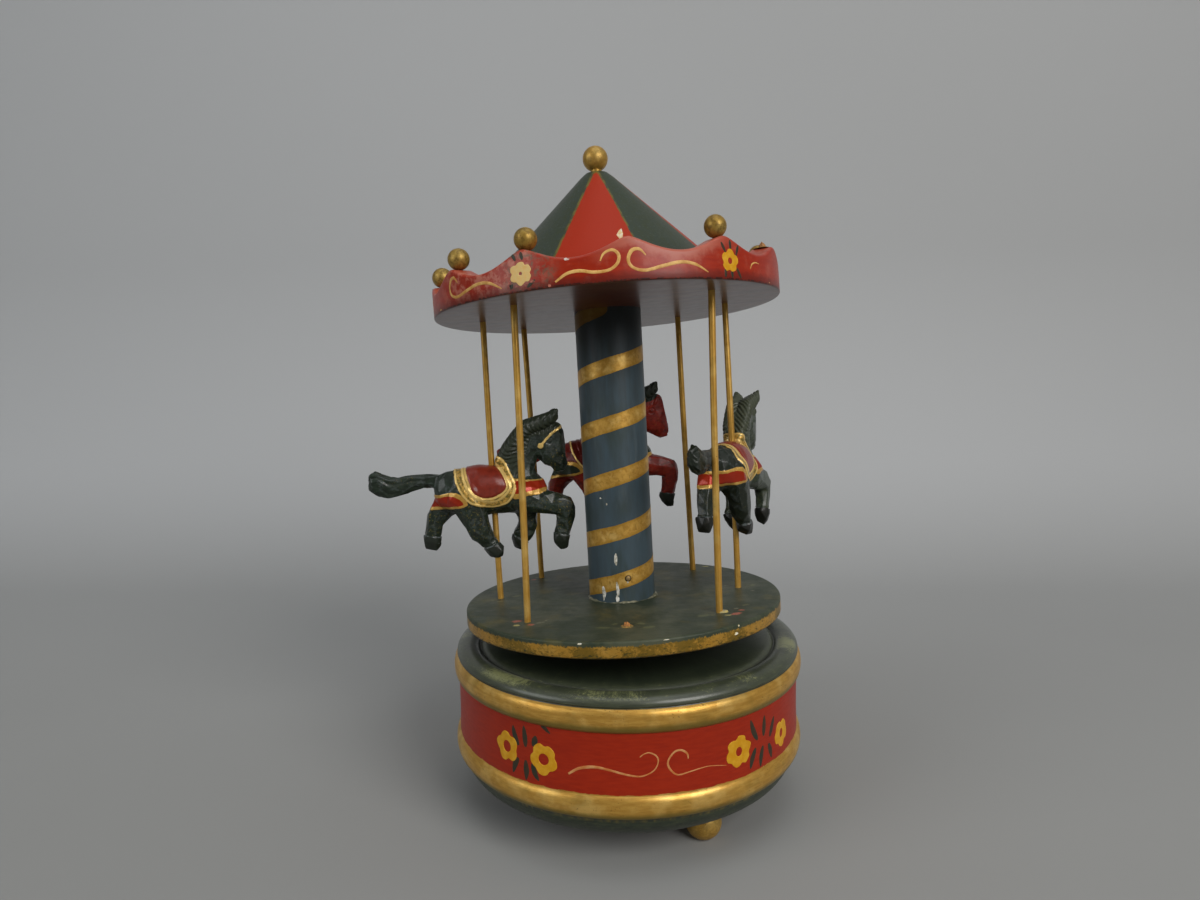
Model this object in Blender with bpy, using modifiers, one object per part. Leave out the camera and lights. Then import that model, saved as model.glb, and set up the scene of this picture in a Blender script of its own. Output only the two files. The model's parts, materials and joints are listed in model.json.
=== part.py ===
"""Hand-painted wooden toy carousel: a turned drum on three ball feet that carries
a turntable with a column, seven rods, three horses and a peaked canopy.

The origin is the middle of the drum's flat underside, +Z is up and -Y is the front.
The turntable leans a little on its spindle, and the canopy sits crooked on top of it.
"""
import math

import bmesh
import bpy
from mathutils import Matrix, Vector

MM = 0.001
GAP = 0.3                   # what touching pieces keep between them
MERGE = 0.0001              # merge distance of the modifiers, in metres

# The drum, in millimetres above its underside
DRUM_TOP = 57.0
UPPER_BEAD = (51.7, 42.9)   # top and bottom edge of the upper gold bead
LOWER_BEAD = (19.7, 10.5)
BEAD_RADIUS = 75.0
BAND_RADIUS = 73.2
GROOVE_RADIUS = 63.6
GROOVE_HEIGHT = 53.9
UNDERSIDE_RADIUS = 60.0
SHOULDER_CURVE = (68.7, 52.7, 3.5)      # middle's radius and height, and size, of the rounded shoulder
UPPER_BEAD_MIDDLE = 73.0    # radius of the middle of each bead's curve
LOWER_BEAD_MIDDLE = 72.6
BELLY_RADIUS = 72.0         # where the rounding under the lower bead starts
PLATE_RADIUS = 44.0
PLATE_THICKNESS = 3.7
DRUM_STEPS = 48

# The ball feet
FOOT_RADIUS = 7.2
FOOT_CIRCLE = 53.5
FOOT_ANGLES = (34.8, 154.8, -85.2)      # from the front, turning to the right
FOOT_DROP = 6.1             # from the underside down to the middle of the ball
FOOT_FLAT = 0.6             # height of the worn flat below each ball

# The turntable and what stands on it, along the leaning spindle
PIVOT_HEIGHT = 54.0
PIVOT_SHIFT = -0.75         # the spindle stands a little left of the drum's middle
LEAN_LEFT = 2.15            # degrees
LEAN_BACK = 1.83
PLATFORM_TOP = 18.0         # above the pivot
PLATFORM_THICKNESS = 6.4
PLATFORM_RADIUS = 68.0
PLATFORM_STEPS = 64
SPINDLE_RADIUS = 3.0
SPINDLE_DEPTH = 9.0         # how far it reaches down into the drum
SPINDLE_COLLAR = (9.0, 5.0)     # radius and height of the turned collar under the platform
PLATFORM_EDGE = 0.7         # its small chamfer
BUSH_CLEARANCE = 0.8        # lets the leaning spindle turn in the drum's hole
HOLE_TAPER = 0.6            # the hole is this much wider at its mouth
COLUMN_RADIUS = 14.3

# The canopy, along its own crooked axis
CANOPY_HEIGHT = 124.0       # from the platform's top to the canopy's underside
CANOPY_SHIFT = -0.3         # it also slid a little to the left
CANOPY_LEFT = 1.4           # degrees beyond the turntable's own lean
CANOPY_BACK = 1.6
CANOPY_RADIUS = 73.0
CANOPY_INNER = 63.8
CANOPY_FLOOR = 5.0
VALLEY_HEIGHT = 9.9
PEAK_HEIGHT = 15.2
RIM_SLANT = 1.1             # the rim was cut this much higher on the right, lower on the left
PEAKS = 12
PEAK_ANGLE = 9.5            # the first peak, from the front
STEPS_PER_PEAK = 8
ROOF_APEX = 63.7            # where the roof's 45 degree sides would meet
ROOF_TOP = 58.6
FINIAL_RADIUS = 5.4
FINIAL_HEIGHT = 65.0
FINIAL_NECK = 2.2           # radius of the short peg under the finial ball
RIM_BALL_RADIUS = 4.3
RIM_BALL_CIRCLE = 68.5
BARE_PEAKS = (0, 2)         # peaks that have lost their ball
STUB_PEAK = 2               # the broken peg still stands on this one

# The rods: angle from the front and radius at the foot, then how far the top leans out
ROD_RADIUS = 1.35
ROD_SEAT = 3.2              # depth of the holes that hold the rods
RODS = {
    "rod_2": ((49.2, 52.2), (2.5, 0.4)),
    "rod_3": ((95.8, 51.5), (-0.25, 2.6)),
    "rod_4": ((142.9, 55.5), (-1.7, -1.2)),
    "rod_5": ((188.0, 53.0), (0.0, 0.0)),
    "rod_6": ((225.9, 57.4), (-1.5, 0.0)),
    "rod_7": ((268.0, 54.6), (-0.25, 0.0)),
    "rod_8": ((316.0, 52.6), (2.3, -1.4)),
}
EMPTY_HOLE = (3.8, 48.8)    # the front rod and its horse are missing
STUB_PROUD = 1.6            # the rod's stump still stands this much above the platform

# The horses: rod, height above the platform, heading from +X, nose up and roll
HORSES = {
    "horse_right": ("rod_3", 53.2, 67.5, -2.5, -1.2),
    "horse_back": ("rod_5", 56.8, 6.0, 4.5, 0.0),
    "horse_left": ("rod_7", 48.7, 11.5, 0.5, 0.0),
}
HORSE_VOXEL = 0.85
HORSE_KEEP = 0.058          # share of the remeshed faces that is kept

# A horse's limbs in its own frame: +X ahead, +Y left, the rod along Z.
# Each row is x, y, z and radius, and the last number squeezes it sideways.
BODY = ([(-17.2, 0, 1.9, 8.4), (-6, 0, 0.3, 9.6), (6, 0, -0.7, 9.6), (14.3, 0, -1, 8.4)], 0.77)
NECK = ([(9.5, 0, 4, 9.0), (11, 0, 11, 8.2), (13, 0, 17.5, 7.4), (18.5, 0, 22.5, 6.8)], 0.6)
HEAD = ([(22.5, 0, 22, 6.0), (26.6, 0, 23.6, 6.0), (27.7, 0, 17, 5.3), (29, 0, 10.4, 3.9)], 0.66)
CHEEK = ([(23.6, 0, 18, 5.2), (26, 0, 13, 4.4)], 0.7)
MANE = ([(3.6, 2.0, 12.8, 2.6), (7.6, 2.4, 17.5, 3.0), (12.2, 2.6, 23, 3.0), (16.3, 2.7, 27, 3.0),
         (23, 2.9, 29, 2.8), (28.3, 3.5, 31.2, 2.0), (29.3, 4.5, 33, 0.9)], 1.0)
TAIL = ([(-21, 0, 4.6, 3.0), (-26, 0, 6.1, 2.9), (-33, 0, 6.0, 3.3), (-40, 0, 4.9, 4.2),
         (-46.3, 0, 4.6, 4.9), (-49.4, 0, 6.6, 4.4), (-50.4, 0, 10.6, 1.6)], 0.62)
LEFT_HIND = ([(-17, 3.4, -1.5, 6.5), (-22, 4.2, -6, 5.0), (-26, 4.2, -11, 4.2), (-27.3, 4.2, -16.8, 3.6),
              (-28.4, 4.2, -20.6, 3.4), (-28.6, 4.2, -22, 3.5), (-27.6, 4.2, -22.4, 3.0)], 0.85)
RIGHT_HIND = ([(-13, -3.4, -2, 7.0), (-11, -4.6, -8, 5.6), (-8.7, -4.8, -13, 5.2), (-6.2, -4.8, -18, 4.6),
               (-3.8, -4.8, -21.6, 3.4), (-1.4, -4.8, -25.6, 3.5)], 0.85)
RIGHT_FRONT = ([(13, -3.2, -3, 6.8), (18.5, -4.2, -5.8, 5.4), (25, -4.8, -6.9, 4.8), (31, -4.8, -8.8, 4.5),
                (31.9, -4.8, -12.5, 4.1), (31.2, -4.8, -17, 3.5), (29.6, -4.8, -20.8, 3.1),
                (28.3, -4.8, -24, 3.4), (29, -4.8, -26.6, 1.8)], 0.85)
LEFT_FRONT = ([(13, 3.2, -5, 6.0), (14.5, 4.0, -12, 4.4), (14.6, 4.2, -17.5, 3.9), (13, 4.2, -21.5, 3.3),
               (10.3, 4.2, -24.2, 3.2), (9.9, 4.2, -26.4, 1.8)], 0.85)
HORSE_FORMS = (BODY, NECK, HEAD, CHEEK, MANE, TAIL, LEFT_HIND, RIGHT_HIND, RIGHT_FRONT, LEFT_FRONT)

# Paint: linear colour and roughness
PAINTS = {
    "green": ((0.022, 0.045, 0.036), 0.45),
    "red": ((0.36, 0.035, 0.017), 0.45),
    "slate": ((0.03, 0.06, 0.085), 0.5),
    "gold": ((0.36, 0.2, 0.045), 0.4),
    "bare_wood": ((0.4, 0.22, 0.1), 0.7),
}


def clear_scene():
    for thing in list(bpy.data.objects):
        bpy.data.objects.remove(thing, do_unlink=True)


def collection(name):
    group = bpy.data.collections.new(name)
    bpy.context.scene.collection.children.link(group)
    return group


def paint(name):
    """Return the paint as a Principled material, made once."""
    found = bpy.data.materials.get(name)
    if found:
        return found
    colour, roughness = PAINTS[name]
    material = bpy.data.materials.new(name)
    material.use_nodes = True
    shader = material.node_tree.nodes["Principled BSDF"]
    shader.inputs["Base Color"].default_value = (*colour, 1)
    shader.inputs["Roughness"].default_value = roughness
    material.diffuse_color = (*colour, 1)
    return material


def add_object(name, mesh, group, parent=None, colour=None, place=None):
    thing = bpy.data.objects.new(name, mesh)
    group.objects.link(thing)
    thing.parent = parent
    if place is not None:
        thing.matrix_local = place
    if colour:
        thing.data.materials.append(paint(colour))
    return thing


def axis_frame(name, group, place, parent=None):
    """Add an empty whose Z is an axis that pieces are placed along."""
    empty = bpy.data.objects.new(name, None)
    group.objects.link(empty)
    empty.parent = parent
    empty.matrix_local = place
    return empty


def around(angle, radius, height=0.0):
    """Return a place by its angle from the front, turning to the right, in millimetres."""
    turn = math.radians(angle)
    return Vector((radius * math.sin(turn), -radius * math.cos(turn), height)) * MM


def move(x=0.0, y=0.0, z=0.0):
    return Matrix.Translation(Vector((x, y, z)) * MM)


def lean(left, back):
    """Return the rotation of an axis that leans to the left and to the back, in degrees."""
    up = Vector((-math.sin(math.radians(left)), math.sin(math.radians(back)), 0))
    up.z = math.sqrt(1 - up.length_squared)
    side = Vector((1, 0, 0))
    side = (side - up * side.dot(up)).normalized()
    ahead = up.cross(side)
    return Matrix((side, ahead, up)).transposed().to_4x4()


def arc(centre, radius, start, end, steps, squash=1.0):
    """Return points of an arc in the profile plane, angles in degrees from outward."""
    points = []
    for step in range(steps + 1):
        turn = math.radians(start + (end - start) * step / steps)
        points.append((centre[0] + radius * squash * math.cos(turn), centre[1] + radius * math.sin(turn)))
    return points


def turned(name, profile, steps, group, parent=None, colour=None, place=None):
    """Turn a profile of (radius, height) points, top to bottom down its outer side."""
    mesh = bpy.data.meshes.new(name)
    verts = [(radius * MM, 0, height * MM) for radius, height in profile]
    edges = [(i, i + 1) for i in range(len(profile) - 1)]
    mesh.from_pydata(verts, edges, [])
    thing = add_object(name, mesh, group, parent, colour, place)
    screw = thing.modifiers.new("turn", "SCREW")
    screw.angle = math.tau
    screw.steps = steps
    screw.render_steps = steps
    screw.use_merge_vertices = True
    screw.merge_threshold = MERGE
    screw.use_smooth_shade = True
    return thing


def ball_profile(radius, steps, flat=0.0):
    """Return a ball's profile, with its lowest part cut flat."""
    low = -math.degrees(math.asin((radius - flat) / radius))
    points = arc((0, 0), radius, 90, low, steps)
    points[0] = (0, radius)
    return points + [(0, -(radius - flat))]


def cut(target, cutter):
    """Take the cutter's shape out of the target."""
    cutter.hide_render = True
    cutter.display_type = "WIRE"
    boolean = target.modifiers.new("cut", "BOOLEAN")
    boolean.operation = "DIFFERENCE"
    boolean.solver = "EXACT"
    boolean.object = cutter


def bar_mesh(name, bars, sides):
    """Return one mesh of straight round bars, each given as start, end and radius in metres."""
    bm = bmesh.new()
    for start, end, radius in bars:
        run = end - start
        turn = run.to_track_quat("Z", "Y").to_matrix().to_4x4()
        place = Matrix.Translation((start + end) / 2) @ turn
        bmesh.ops.create_cone(bm, cap_ends=True, segments=sides, radius1=radius, radius2=radius,
                              depth=run.length, matrix=place)
    mesh = bpy.data.meshes.new(name)
    bm.to_mesh(mesh)
    bm.free()
    mesh.shade_smooth()
    mesh.set_sharp_from_angle(angle=math.radians(40))
    return mesh


def drum_profile():
    """Return the drum from the bottom of its spindle hole round to its underside."""
    hole = SPINDLE_RADIUS + BUSH_CLEARANCE
    hole_floor = PIVOT_HEIGHT - SPINDLE_DEPTH - 2 * GAP
    across, height, size = SHOULDER_CURVE
    shoulder = arc((across, height), size, 155, 8, 7, squash=1.42)
    size = (UPPER_BEAD[0] - UPPER_BEAD[1]) / 2
    upper = arc((UPPER_BEAD_MIDDLE, sum(UPPER_BEAD) / 2), size, 76, -76, 5,
                squash=(BEAD_RADIUS - UPPER_BEAD_MIDDLE) / size)
    size = (LOWER_BEAD[0] - LOWER_BEAD[1]) / 2
    lower = arc((LOWER_BEAD_MIDDLE, sum(LOWER_BEAD) / 2), size, 70, -84, 5,
                squash=(BEAD_RADIUS - LOWER_BEAD_MIDDLE) / size)
    size = LOWER_BEAD[1]
    belly = arc((UNDERSIDE_RADIUS, size), size, -6, -90, 4, squash=(BELLY_RADIUS - UNDERSIDE_RADIUS) / size)
    top = [(0, hole_floor), (hole, hole_floor), (hole + HOLE_TAPER, DRUM_TOP), (45, DRUM_TOP - 0.4),
           (GROOVE_RADIUS - 2.2, DRUM_TOP - 1.4), (GROOVE_RADIUS - 0.8, GROOVE_HEIGHT + 0.7),
           (GROOVE_RADIUS, GROOVE_HEIGHT)]
    band = [(BAND_RADIUS, UPPER_BEAD[1] - 0.4), (BAND_RADIUS - 0.1, 31.3), (BAND_RADIUS + 0.3, LOWER_BEAD[0] + 0.4)]
    recess = [(PLATE_RADIUS + GAP, 0), (PLATE_RADIUS + GAP, PLATE_THICKNESS + GAP),
              (0, PLATE_THICKNESS + GAP)]
    return top + shoulder + upper + band + lower + belly + recess


def make_base(group):
    turned("base_drum", drum_profile(), DRUM_STEPS, group, colour="red")
    plate = [(0, PLATE_THICKNESS), (PLATE_RADIUS, PLATE_THICKNESS), (PLATE_RADIUS, 0), (0, 0)]
    turned("base_plate", plate, 40, group, colour="bare_wood")
    for number, angle in enumerate(FOOT_ANGLES, 1):
        place = Matrix.Translation(around(angle, FOOT_CIRCLE, -FOOT_DROP))
        seat = FOOT_DROP - GAP
        seat_radius = math.sqrt(FOOT_RADIUS ** 2 - seat ** 2)
        start = math.degrees(math.asin(seat / FOOT_RADIUS))
        low = -math.degrees(math.asin((FOOT_RADIUS - FOOT_FLAT) / FOOT_RADIUS))
        side = arc((0, 0), FOOT_RADIUS, start, low, 8)
        side[0] = (seat_radius, seat)
        profile = [(0, seat)] + side + [(0, -(FOOT_RADIUS - FOOT_FLAT))]
        turned(f"foot_{number}", profile, 16, group, colour="gold", place=place)


def rod_line(name):
    """Return a rod's foot on the platform's top and its top end, in the rotor's frame."""
    (angle, radius), (out_x, out_y) = RODS[name]
    foot = around(angle, radius, PLATFORM_TOP)
    top = foot + Vector((out_x, out_y, CANOPY_HEIGHT)) * MM
    return foot, top


def rod_bar(name, canopy_inverse, swell=0.0, stretch=0.0):
    """Return a rod from hole to hole; swell and stretch make the cutter of its holes."""
    foot, top = rod_line(name)
    run = (top - foot).normalized()
    underside = (canopy_inverse @ foot).z / ((canopy_inverse @ foot).z - (canopy_inverse @ top).z)
    meet = foot.lerp(top, underside)
    start = foot - run * (ROD_SEAT + stretch) * MM
    end = meet + run * (ROD_SEAT + stretch) * MM
    return start, end, (ROD_RADIUS + swell) * MM


def make_rods(group, cutters, rotor, canopy_inverse):
    """Add the rods and return the cutter of all their holes."""
    for name in RODS:
        mesh = bar_mesh(name, [rod_bar(name, canopy_inverse)], 12)
        add_object(name, mesh, group, rotor, "gold")
    holes = [rod_bar(name, canopy_inverse, swell=GAP, stretch=GAP) for name in RODS]
    return add_object("rod_holes", bar_mesh("rod_holes", holes, 12), cutters, rotor)


def make_turntable(group, cutters, rotor, rod_holes):
    top = PLATFORM_TOP
    bottom = top - PLATFORM_THICKNESS
    edge = PLATFORM_EDGE
    profile = [(0, top), (PLATFORM_RADIUS - edge, top), (PLATFORM_RADIUS, top - edge),
               (PLATFORM_RADIUS, bottom + edge), (PLATFORM_RADIUS - edge, bottom), (0, bottom)]
    platform = turned("platform", profile, PLATFORM_STEPS, group, rotor, "green")
    cut(platform, rod_holes)
    mouth = around(*EMPTY_HOLE, top + 1)
    floor = around(*EMPTY_HOLE, top - ROD_SEAT - GAP)
    hole = bar_mesh("empty_hole", [(floor, mouth, (ROD_RADIUS + GAP) * MM)], 12)
    cut(platform, add_object("empty_hole", hole, cutters, rotor))
    stub = bar_mesh("broken_rod_stub", [(around(*EMPTY_HOLE, top - ROD_SEAT), around(*EMPTY_HOLE, top + STUB_PROUD),
                                         ROD_RADIUS * MM)], 12)
    add_object("broken_rod_stub", stub, group, rotor, "bare_wood")

    collar_radius, collar_height = SPINDLE_COLLAR
    high = bottom - GAP
    spindle = [(0, high), (collar_radius, high), (collar_radius, high - collar_height + 1),
               (collar_radius - 1, high - collar_height), (SPINDLE_RADIUS, high - collar_height),
               (SPINDLE_RADIUS, -SPINDLE_DEPTH), (0, -SPINDLE_DEPTH)]
    turned("spindle", spindle, 20, group, rotor, "bare_wood")

    # the column's top stays under the lowest place of the crooked canopy above it
    slope_left, slope_back = math.sin(math.radians(CANOPY_LEFT)), math.sin(math.radians(CANOPY_BACK))
    lowest = COLUMN_RADIUS * math.hypot(slope_left, slope_back) + CANOPY_SHIFT * slope_left
    low = top + GAP
    high = top + CANOPY_HEIGHT - GAP - lowest
    column = [(0, high), (COLUMN_RADIUS, high), (COLUMN_RADIUS, low), (0, low)]
    turned("column", column, 40, group, rotor, "slate")


def rim_height(angle):
    """Return the scalloped rim's height at an angle from the front, in degrees."""
    slant = RIM_SLANT * math.sin(math.radians(angle))
    step = 360 / PEAKS
    share = (angle - PEAK_ANGLE) / step
    share = abs(share - round(share)) * 2
    swing = math.sin(share * math.pi / 2)
    blunt = 0.18
    fall = (math.sqrt(swing ** 2 + blunt ** 2) - blunt) / (math.sqrt(1 + blunt ** 2) - blunt)
    return PEAK_HEIGHT + slant - (PEAK_HEIGHT - VALLEY_HEIGHT) * fall


def canopy_disc_mesh():
    """Return the disc with its scalloped rim, as rings of points lofted round the axis."""
    steps = PEAKS * STEPS_PER_PEAK
    bm = bmesh.new()
    rings = []
    for step in range(steps):
        angle = PEAK_ANGLE + 360 * step / steps
        crest = rim_height(angle)
        profile = [(CANOPY_RADIUS - 0.5, 0), (CANOPY_RADIUS, 0.5), (CANOPY_RADIUS, crest - 1.6),
                   (CANOPY_RADIUS - 0.5, crest - 0.5), (CANOPY_RADIUS - 1.6, crest),
                   (CANOPY_INNER + 1.2, crest), (CANOPY_INNER, crest - 1.2), (CANOPY_INNER, CANOPY_FLOOR)]
        rings.append([bm.verts.new(around(angle, radius, height)) for radius, height in profile])
    for ring, following in zip(rings, rings[1:] + rings[:1]):
        for i in range(len(ring) - 1):
            bm.faces.new((ring[i], following[i], following[i + 1], ring[i + 1]))
    bm.faces.new([ring[-1] for ring in rings])
    bm.faces.new([ring[0] for ring in reversed(rings)])
    bmesh.ops.recalc_face_normals(bm, faces=bm.faces)
    mesh = bpy.data.meshes.new("canopy_disc")
    bm.to_mesh(mesh)
    bm.free()
    mesh.shade_smooth()
    mesh.set_sharp_from_angle(angle=math.radians(35))
    return mesh


def make_canopy(group, canopy, rod_holes):
    disc = add_object("canopy_disc", canopy_disc_mesh(), group, canopy, "red")
    cut(disc, rod_holes)
    foot = CANOPY_FLOOR + GAP
    roof = [(0, ROOF_TOP), (ROOF_APEX - ROOF_TOP, ROOF_TOP), (ROOF_APEX - foot - 0.8, foot + 0.8),
            (ROOF_APEX - foot - 0.8, foot), (0, foot)]
    turned("canopy_roof", roof, 48, group, canopy, "green")
    finial = [(0, FINIAL_RADIUS)] + arc((0, 0), FINIAL_RADIUS, 70, -65, 7)
    neck_foot = ROOF_TOP + GAP - FINIAL_HEIGHT
    neck = [(FINIAL_NECK, neck_foot), (0, neck_foot)]
    turned("finial_ball", finial + neck, 16, group, canopy, "gold", move(z=FINIAL_HEIGHT))
    for peak in range(PEAKS):
        angle = PEAK_ANGLE + 360 / PEAKS * peak
        place = Matrix.Translation(around(angle, RIM_BALL_CIRCLE, rim_height(angle) + GAP))
        if peak == STUB_PEAK:
            stub = [(0, 2.4), (1.3, 1.9), (1.3, 0), (0, 0)]
            turned("broken_peg_stub", stub, 10, group, canopy, "bare_wood", place)
        if peak not in BARE_PEAKS:
            profile = [(radius, height + RIM_BALL_RADIUS - 0.15)
                       for radius, height in ball_profile(RIM_BALL_RADIUS, 8, 0.15)]
            turned(f"rim_ball_{peak + 1}", profile, 12, group, canopy, "gold", place)


def add_limb(bm, rows, squeeze):
    """Add a limb as overlapping balls and tapered lengths between them."""
    flat = Matrix.Diagonal((1, squeeze, 1, 1))
    centre_y = sum(row[1] for row in rows) / len(rows) * MM * (1 - squeeze)
    hold = Matrix.Translation((0, centre_y, 0)) @ flat
    for x, y, z, radius in rows:
        bmesh.ops.create_uvsphere(bm, u_segments=16, v_segments=10, radius=radius * MM,
                                  matrix=hold @ move(x, y, z))
    for (x1, y1, z1, r1), (x2, y2, z2, r2) in zip(rows, rows[1:]):
        start = Vector((x1, y1, z1)) * MM
        end = Vector((x2, y2, z2)) * MM
        turn = (end - start).to_track_quat("Z", "Y").to_matrix().to_4x4()
        bmesh.ops.create_cone(bm, cap_ends=True, segments=16, radius1=r1 * MM, radius2=r2 * MM,
                              depth=(end - start).length,
                              matrix=hold @ Matrix.Translation((start + end) / 2) @ turn)


def horse_mesh(name):
    bm = bmesh.new()
    for form in HORSE_FORMS:
        rows, squeeze = form
        add_limb(bm, rows, squeeze)
        if form is MANE:
            add_limb(bm, [(x, -y, z, radius) for x, y, z, radius in rows], squeeze)
    mesh = bpy.data.meshes.new(name)
    bm.to_mesh(mesh)
    bm.free()
    return mesh


def make_horses(group, cutters, rotor, canopy_inverse):
    colours = {"horse_right": "green", "horse_back": "red", "horse_left": "green"}
    for name, (rod, height, heading, nose, roll) in HORSES.items():
        foot, top = rod_line(rod)
        middle = foot.lerp(top, height / CANOPY_HEIGHT)
        turn = (Matrix.Rotation(math.radians(heading), 4, "Z") @ Matrix.Rotation(-math.radians(nose), 4, "Y")
                @ Matrix.Rotation(math.radians(roll), 4, "X"))
        horse = add_object(name, horse_mesh(name), group, rotor, colours[name], Matrix.Translation(middle) @ turn)
        remesh = horse.modifiers.new("fuse", "REMESH")
        remesh.mode = "VOXEL"
        remesh.voxel_size = HORSE_VOXEL * MM
        smooth = horse.modifiers.new("round", "SMOOTH")
        smooth.iterations = 3
        thin = horse.modifiers.new("thin", "DECIMATE")
        thin.ratio = HORSE_KEEP
        start, end, radius = rod_bar(rod, canopy_inverse, swell=GAP)
        bore = bar_mesh(name + "_bore", [(start, end, radius)], 12)
        cut(horse, add_object(name + "_bore", bore, cutters, rotor))


def main():
    clear_scene()
    group = collection("toy_carousel")
    cutters = collection("cutters")
    make_base(group)
    rotor_place = move(x=PIVOT_SHIFT, z=PIVOT_HEIGHT) @ lean(LEAN_LEFT, LEAN_BACK)
    rotor = axis_frame("turntable_axis", group, rotor_place)
    canopy_place = move(x=CANOPY_SHIFT, z=PLATFORM_TOP + CANOPY_HEIGHT) @ lean(CANOPY_LEFT, CANOPY_BACK)
    canopy = axis_frame("canopy_axis", group, canopy_place, rotor)
    canopy_inverse = canopy_place.inverted()
    rod_holes = make_rods(group, cutters, rotor, canopy_inverse)
    make_turntable(group, cutters, rotor, rod_holes)
    make_canopy(group, canopy, rod_holes)
    make_horses(group, cutters, rotor, canopy_inverse)


main()
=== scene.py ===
import json
import math
import random

import bmesh
import bpy
import numpy as np
from mathutils import Matrix, Vector
from mathutils.bvhtree import BVHTree


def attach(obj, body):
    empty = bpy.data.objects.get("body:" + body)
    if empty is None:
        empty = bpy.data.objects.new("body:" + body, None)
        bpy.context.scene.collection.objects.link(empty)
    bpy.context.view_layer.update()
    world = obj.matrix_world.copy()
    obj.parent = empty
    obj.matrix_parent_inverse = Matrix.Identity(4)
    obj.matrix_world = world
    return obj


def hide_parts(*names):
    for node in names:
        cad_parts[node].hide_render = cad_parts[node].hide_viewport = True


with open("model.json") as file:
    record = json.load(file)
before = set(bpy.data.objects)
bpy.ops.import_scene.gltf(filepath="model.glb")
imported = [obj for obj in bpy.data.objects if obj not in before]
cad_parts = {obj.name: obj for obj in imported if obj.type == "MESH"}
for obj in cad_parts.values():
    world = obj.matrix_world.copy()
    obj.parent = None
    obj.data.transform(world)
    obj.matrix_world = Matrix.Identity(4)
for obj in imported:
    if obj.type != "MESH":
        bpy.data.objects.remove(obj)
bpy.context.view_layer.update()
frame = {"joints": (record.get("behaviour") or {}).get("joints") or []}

mm = 0.001

# Shapes are worked out in millimetres, each in the frame of the thing that carries it:
# the drum's own, the leaning turntable's, or the crooked canopy's.


def frameAlong(up):
    side = Vector((1, 0, 0))
    side = (side - up * side.dot(up)).normalized()
    return Matrix((side, up.cross(side), up)).transposed().to_4x4()


def leanFrame(left, back):
    up = Vector((-math.sin(math.radians(left)), math.sin(math.radians(back)), 0))
    up.z = math.sqrt(1 - up.length_squared)
    return frameAlong(up)


def shifted(x=0.0, y=0.0, z=0.0):
    return Matrix.Translation(Vector((x, y, z)) * mm)


turnJoint = frame["joints"][0]
canopySeat = {"height": 142.0, "shift": -0.3, "left": 1.4, "back": 1.6}
drumFrame = Matrix.Identity(4)
tableFrame = Matrix.Translation(turnJoint["pos_m"]) @ frameAlong(Vector(turnJoint["axis"]).normalized())
canopyInTable = (shifted(x=canopySeat["shift"], z=canopySeat["height"])
                 @ leanFrame(canopySeat["left"], canopySeat["back"]))
canopyFrame = tableFrame @ canopyInTable


# Shape helpers

def around(angle, radius, height=0.0):
    # a place by its angle from the front, turning to the right
    turn = math.radians(angle)
    return radius * math.sin(turn), -radius * math.cos(turn), height


def arc(centre, radius, start, end, steps, squash=1.0):
    turns = [math.radians(start + (end - start) * i / steps) for i in range(steps + 1)]
    return [(centre[0] + radius * squash * math.cos(t), centre[1] + radius * math.sin(t)) for t in turns]


def turned(profile, steps):
    # turns a profile of (radius, height) that runs from the top down the outer side
    points, rings, faces = [], [], []
    for radius, height in profile:
        if radius == 0:
            rings.append([len(points)] * steps)
            points.append((0, 0, height))
        else:
            rings.append(range(len(points), len(points) + steps))
            points += [around(360 * i / steps, radius, height) for i in range(steps)]
    for upper, lower in zip(rings, rings[1:]):
        for i in range(steps):
            j = (i + 1) % steps
            faces.append(list(dict.fromkeys((upper[i], lower[i], lower[j], upper[j]))))
    return points, faces


def softCurve(knots, perSpan=8, closed=False):
    # a smooth curve through the knots
    knots = np.array(knots, float)
    count = len(knots)
    spans = count if closed else count - 1
    line = []
    for i in range(spans):
        if closed:
            before, start, end, after = (knots[(i + k) % count] for k in (-1, 0, 1, 2))
        else:
            before, start, end, after = (knots[min(max(i + k, 0), count - 1)] for k in (-1, 0, 1, 2))
        for step in range(perSpan):
            t = step / perSpan
            line.append(0.5 * (2 * start + (end - before) * t
                               + (2 * before - 5 * start + 4 * end - after) * t ** 2
                               + (3 * start - before - 3 * end + after) * t ** 3))
    if not closed:
        line.append(knots[-1])
    return np.array(line)


def loft(loops, closedRings=True, capEnds=True):
    # joins loops of points one after another
    points = [tuple(point) for loop in loops for point in loop]
    size = len(loops[0])
    faces = []
    for k in range(len(loops) - 1):
        for i in range(size if closedRings else size - 1):
            j = (i + 1) % size
            faces.append([k * size + i, k * size + j, (k + 1) * size + j, (k + 1) * size + i])
    if capEnds:
        last = (len(loops) - 1) * size
        faces.append([size - 1 - i for i in range(size)])
        faces.append([last + i for i in range(size)])
    return points, faces


def joined(shapes):
    points, faces = [], []
    for shapePoints, shapeFaces in shapes:
        start = len(points)
        points += list(shapePoints)
        faces += [[start + corner for corner in face] for face in shapeFaces]
    return points, faces


def keepPlace(mesh, place):
    # stores each point's place in millimetres, for the finishes to be laid out by
    points = np.empty(len(mesh.vertices) * 3, np.float32)
    mesh.vertices.foreach_get("co", points)
    back = np.array(place.inverted())
    local = (points.reshape(-1, 3) @ back[:3, :3].T + back[:3, 3]) / mm
    local = local.astype(np.float32).ravel()
    mesh.attributes.new("place", "FLOAT_VECTOR", "POINT").data.foreach_set("vector", local)


def makeMesh(name, shape, place, crease=40):
    points, faces = shape
    turn = np.array(place)
    world = np.array(points, float) * mm @ turn[:3, :3].T + turn[:3, 3]
    mesh = bpy.data.meshes.new(name)
    mesh.from_pydata(world.tolist(), [], faces)
    mesh.shade_smooth()
    mesh.set_sharp_from_angle(angle=math.radians(crease))
    return mesh


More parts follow.
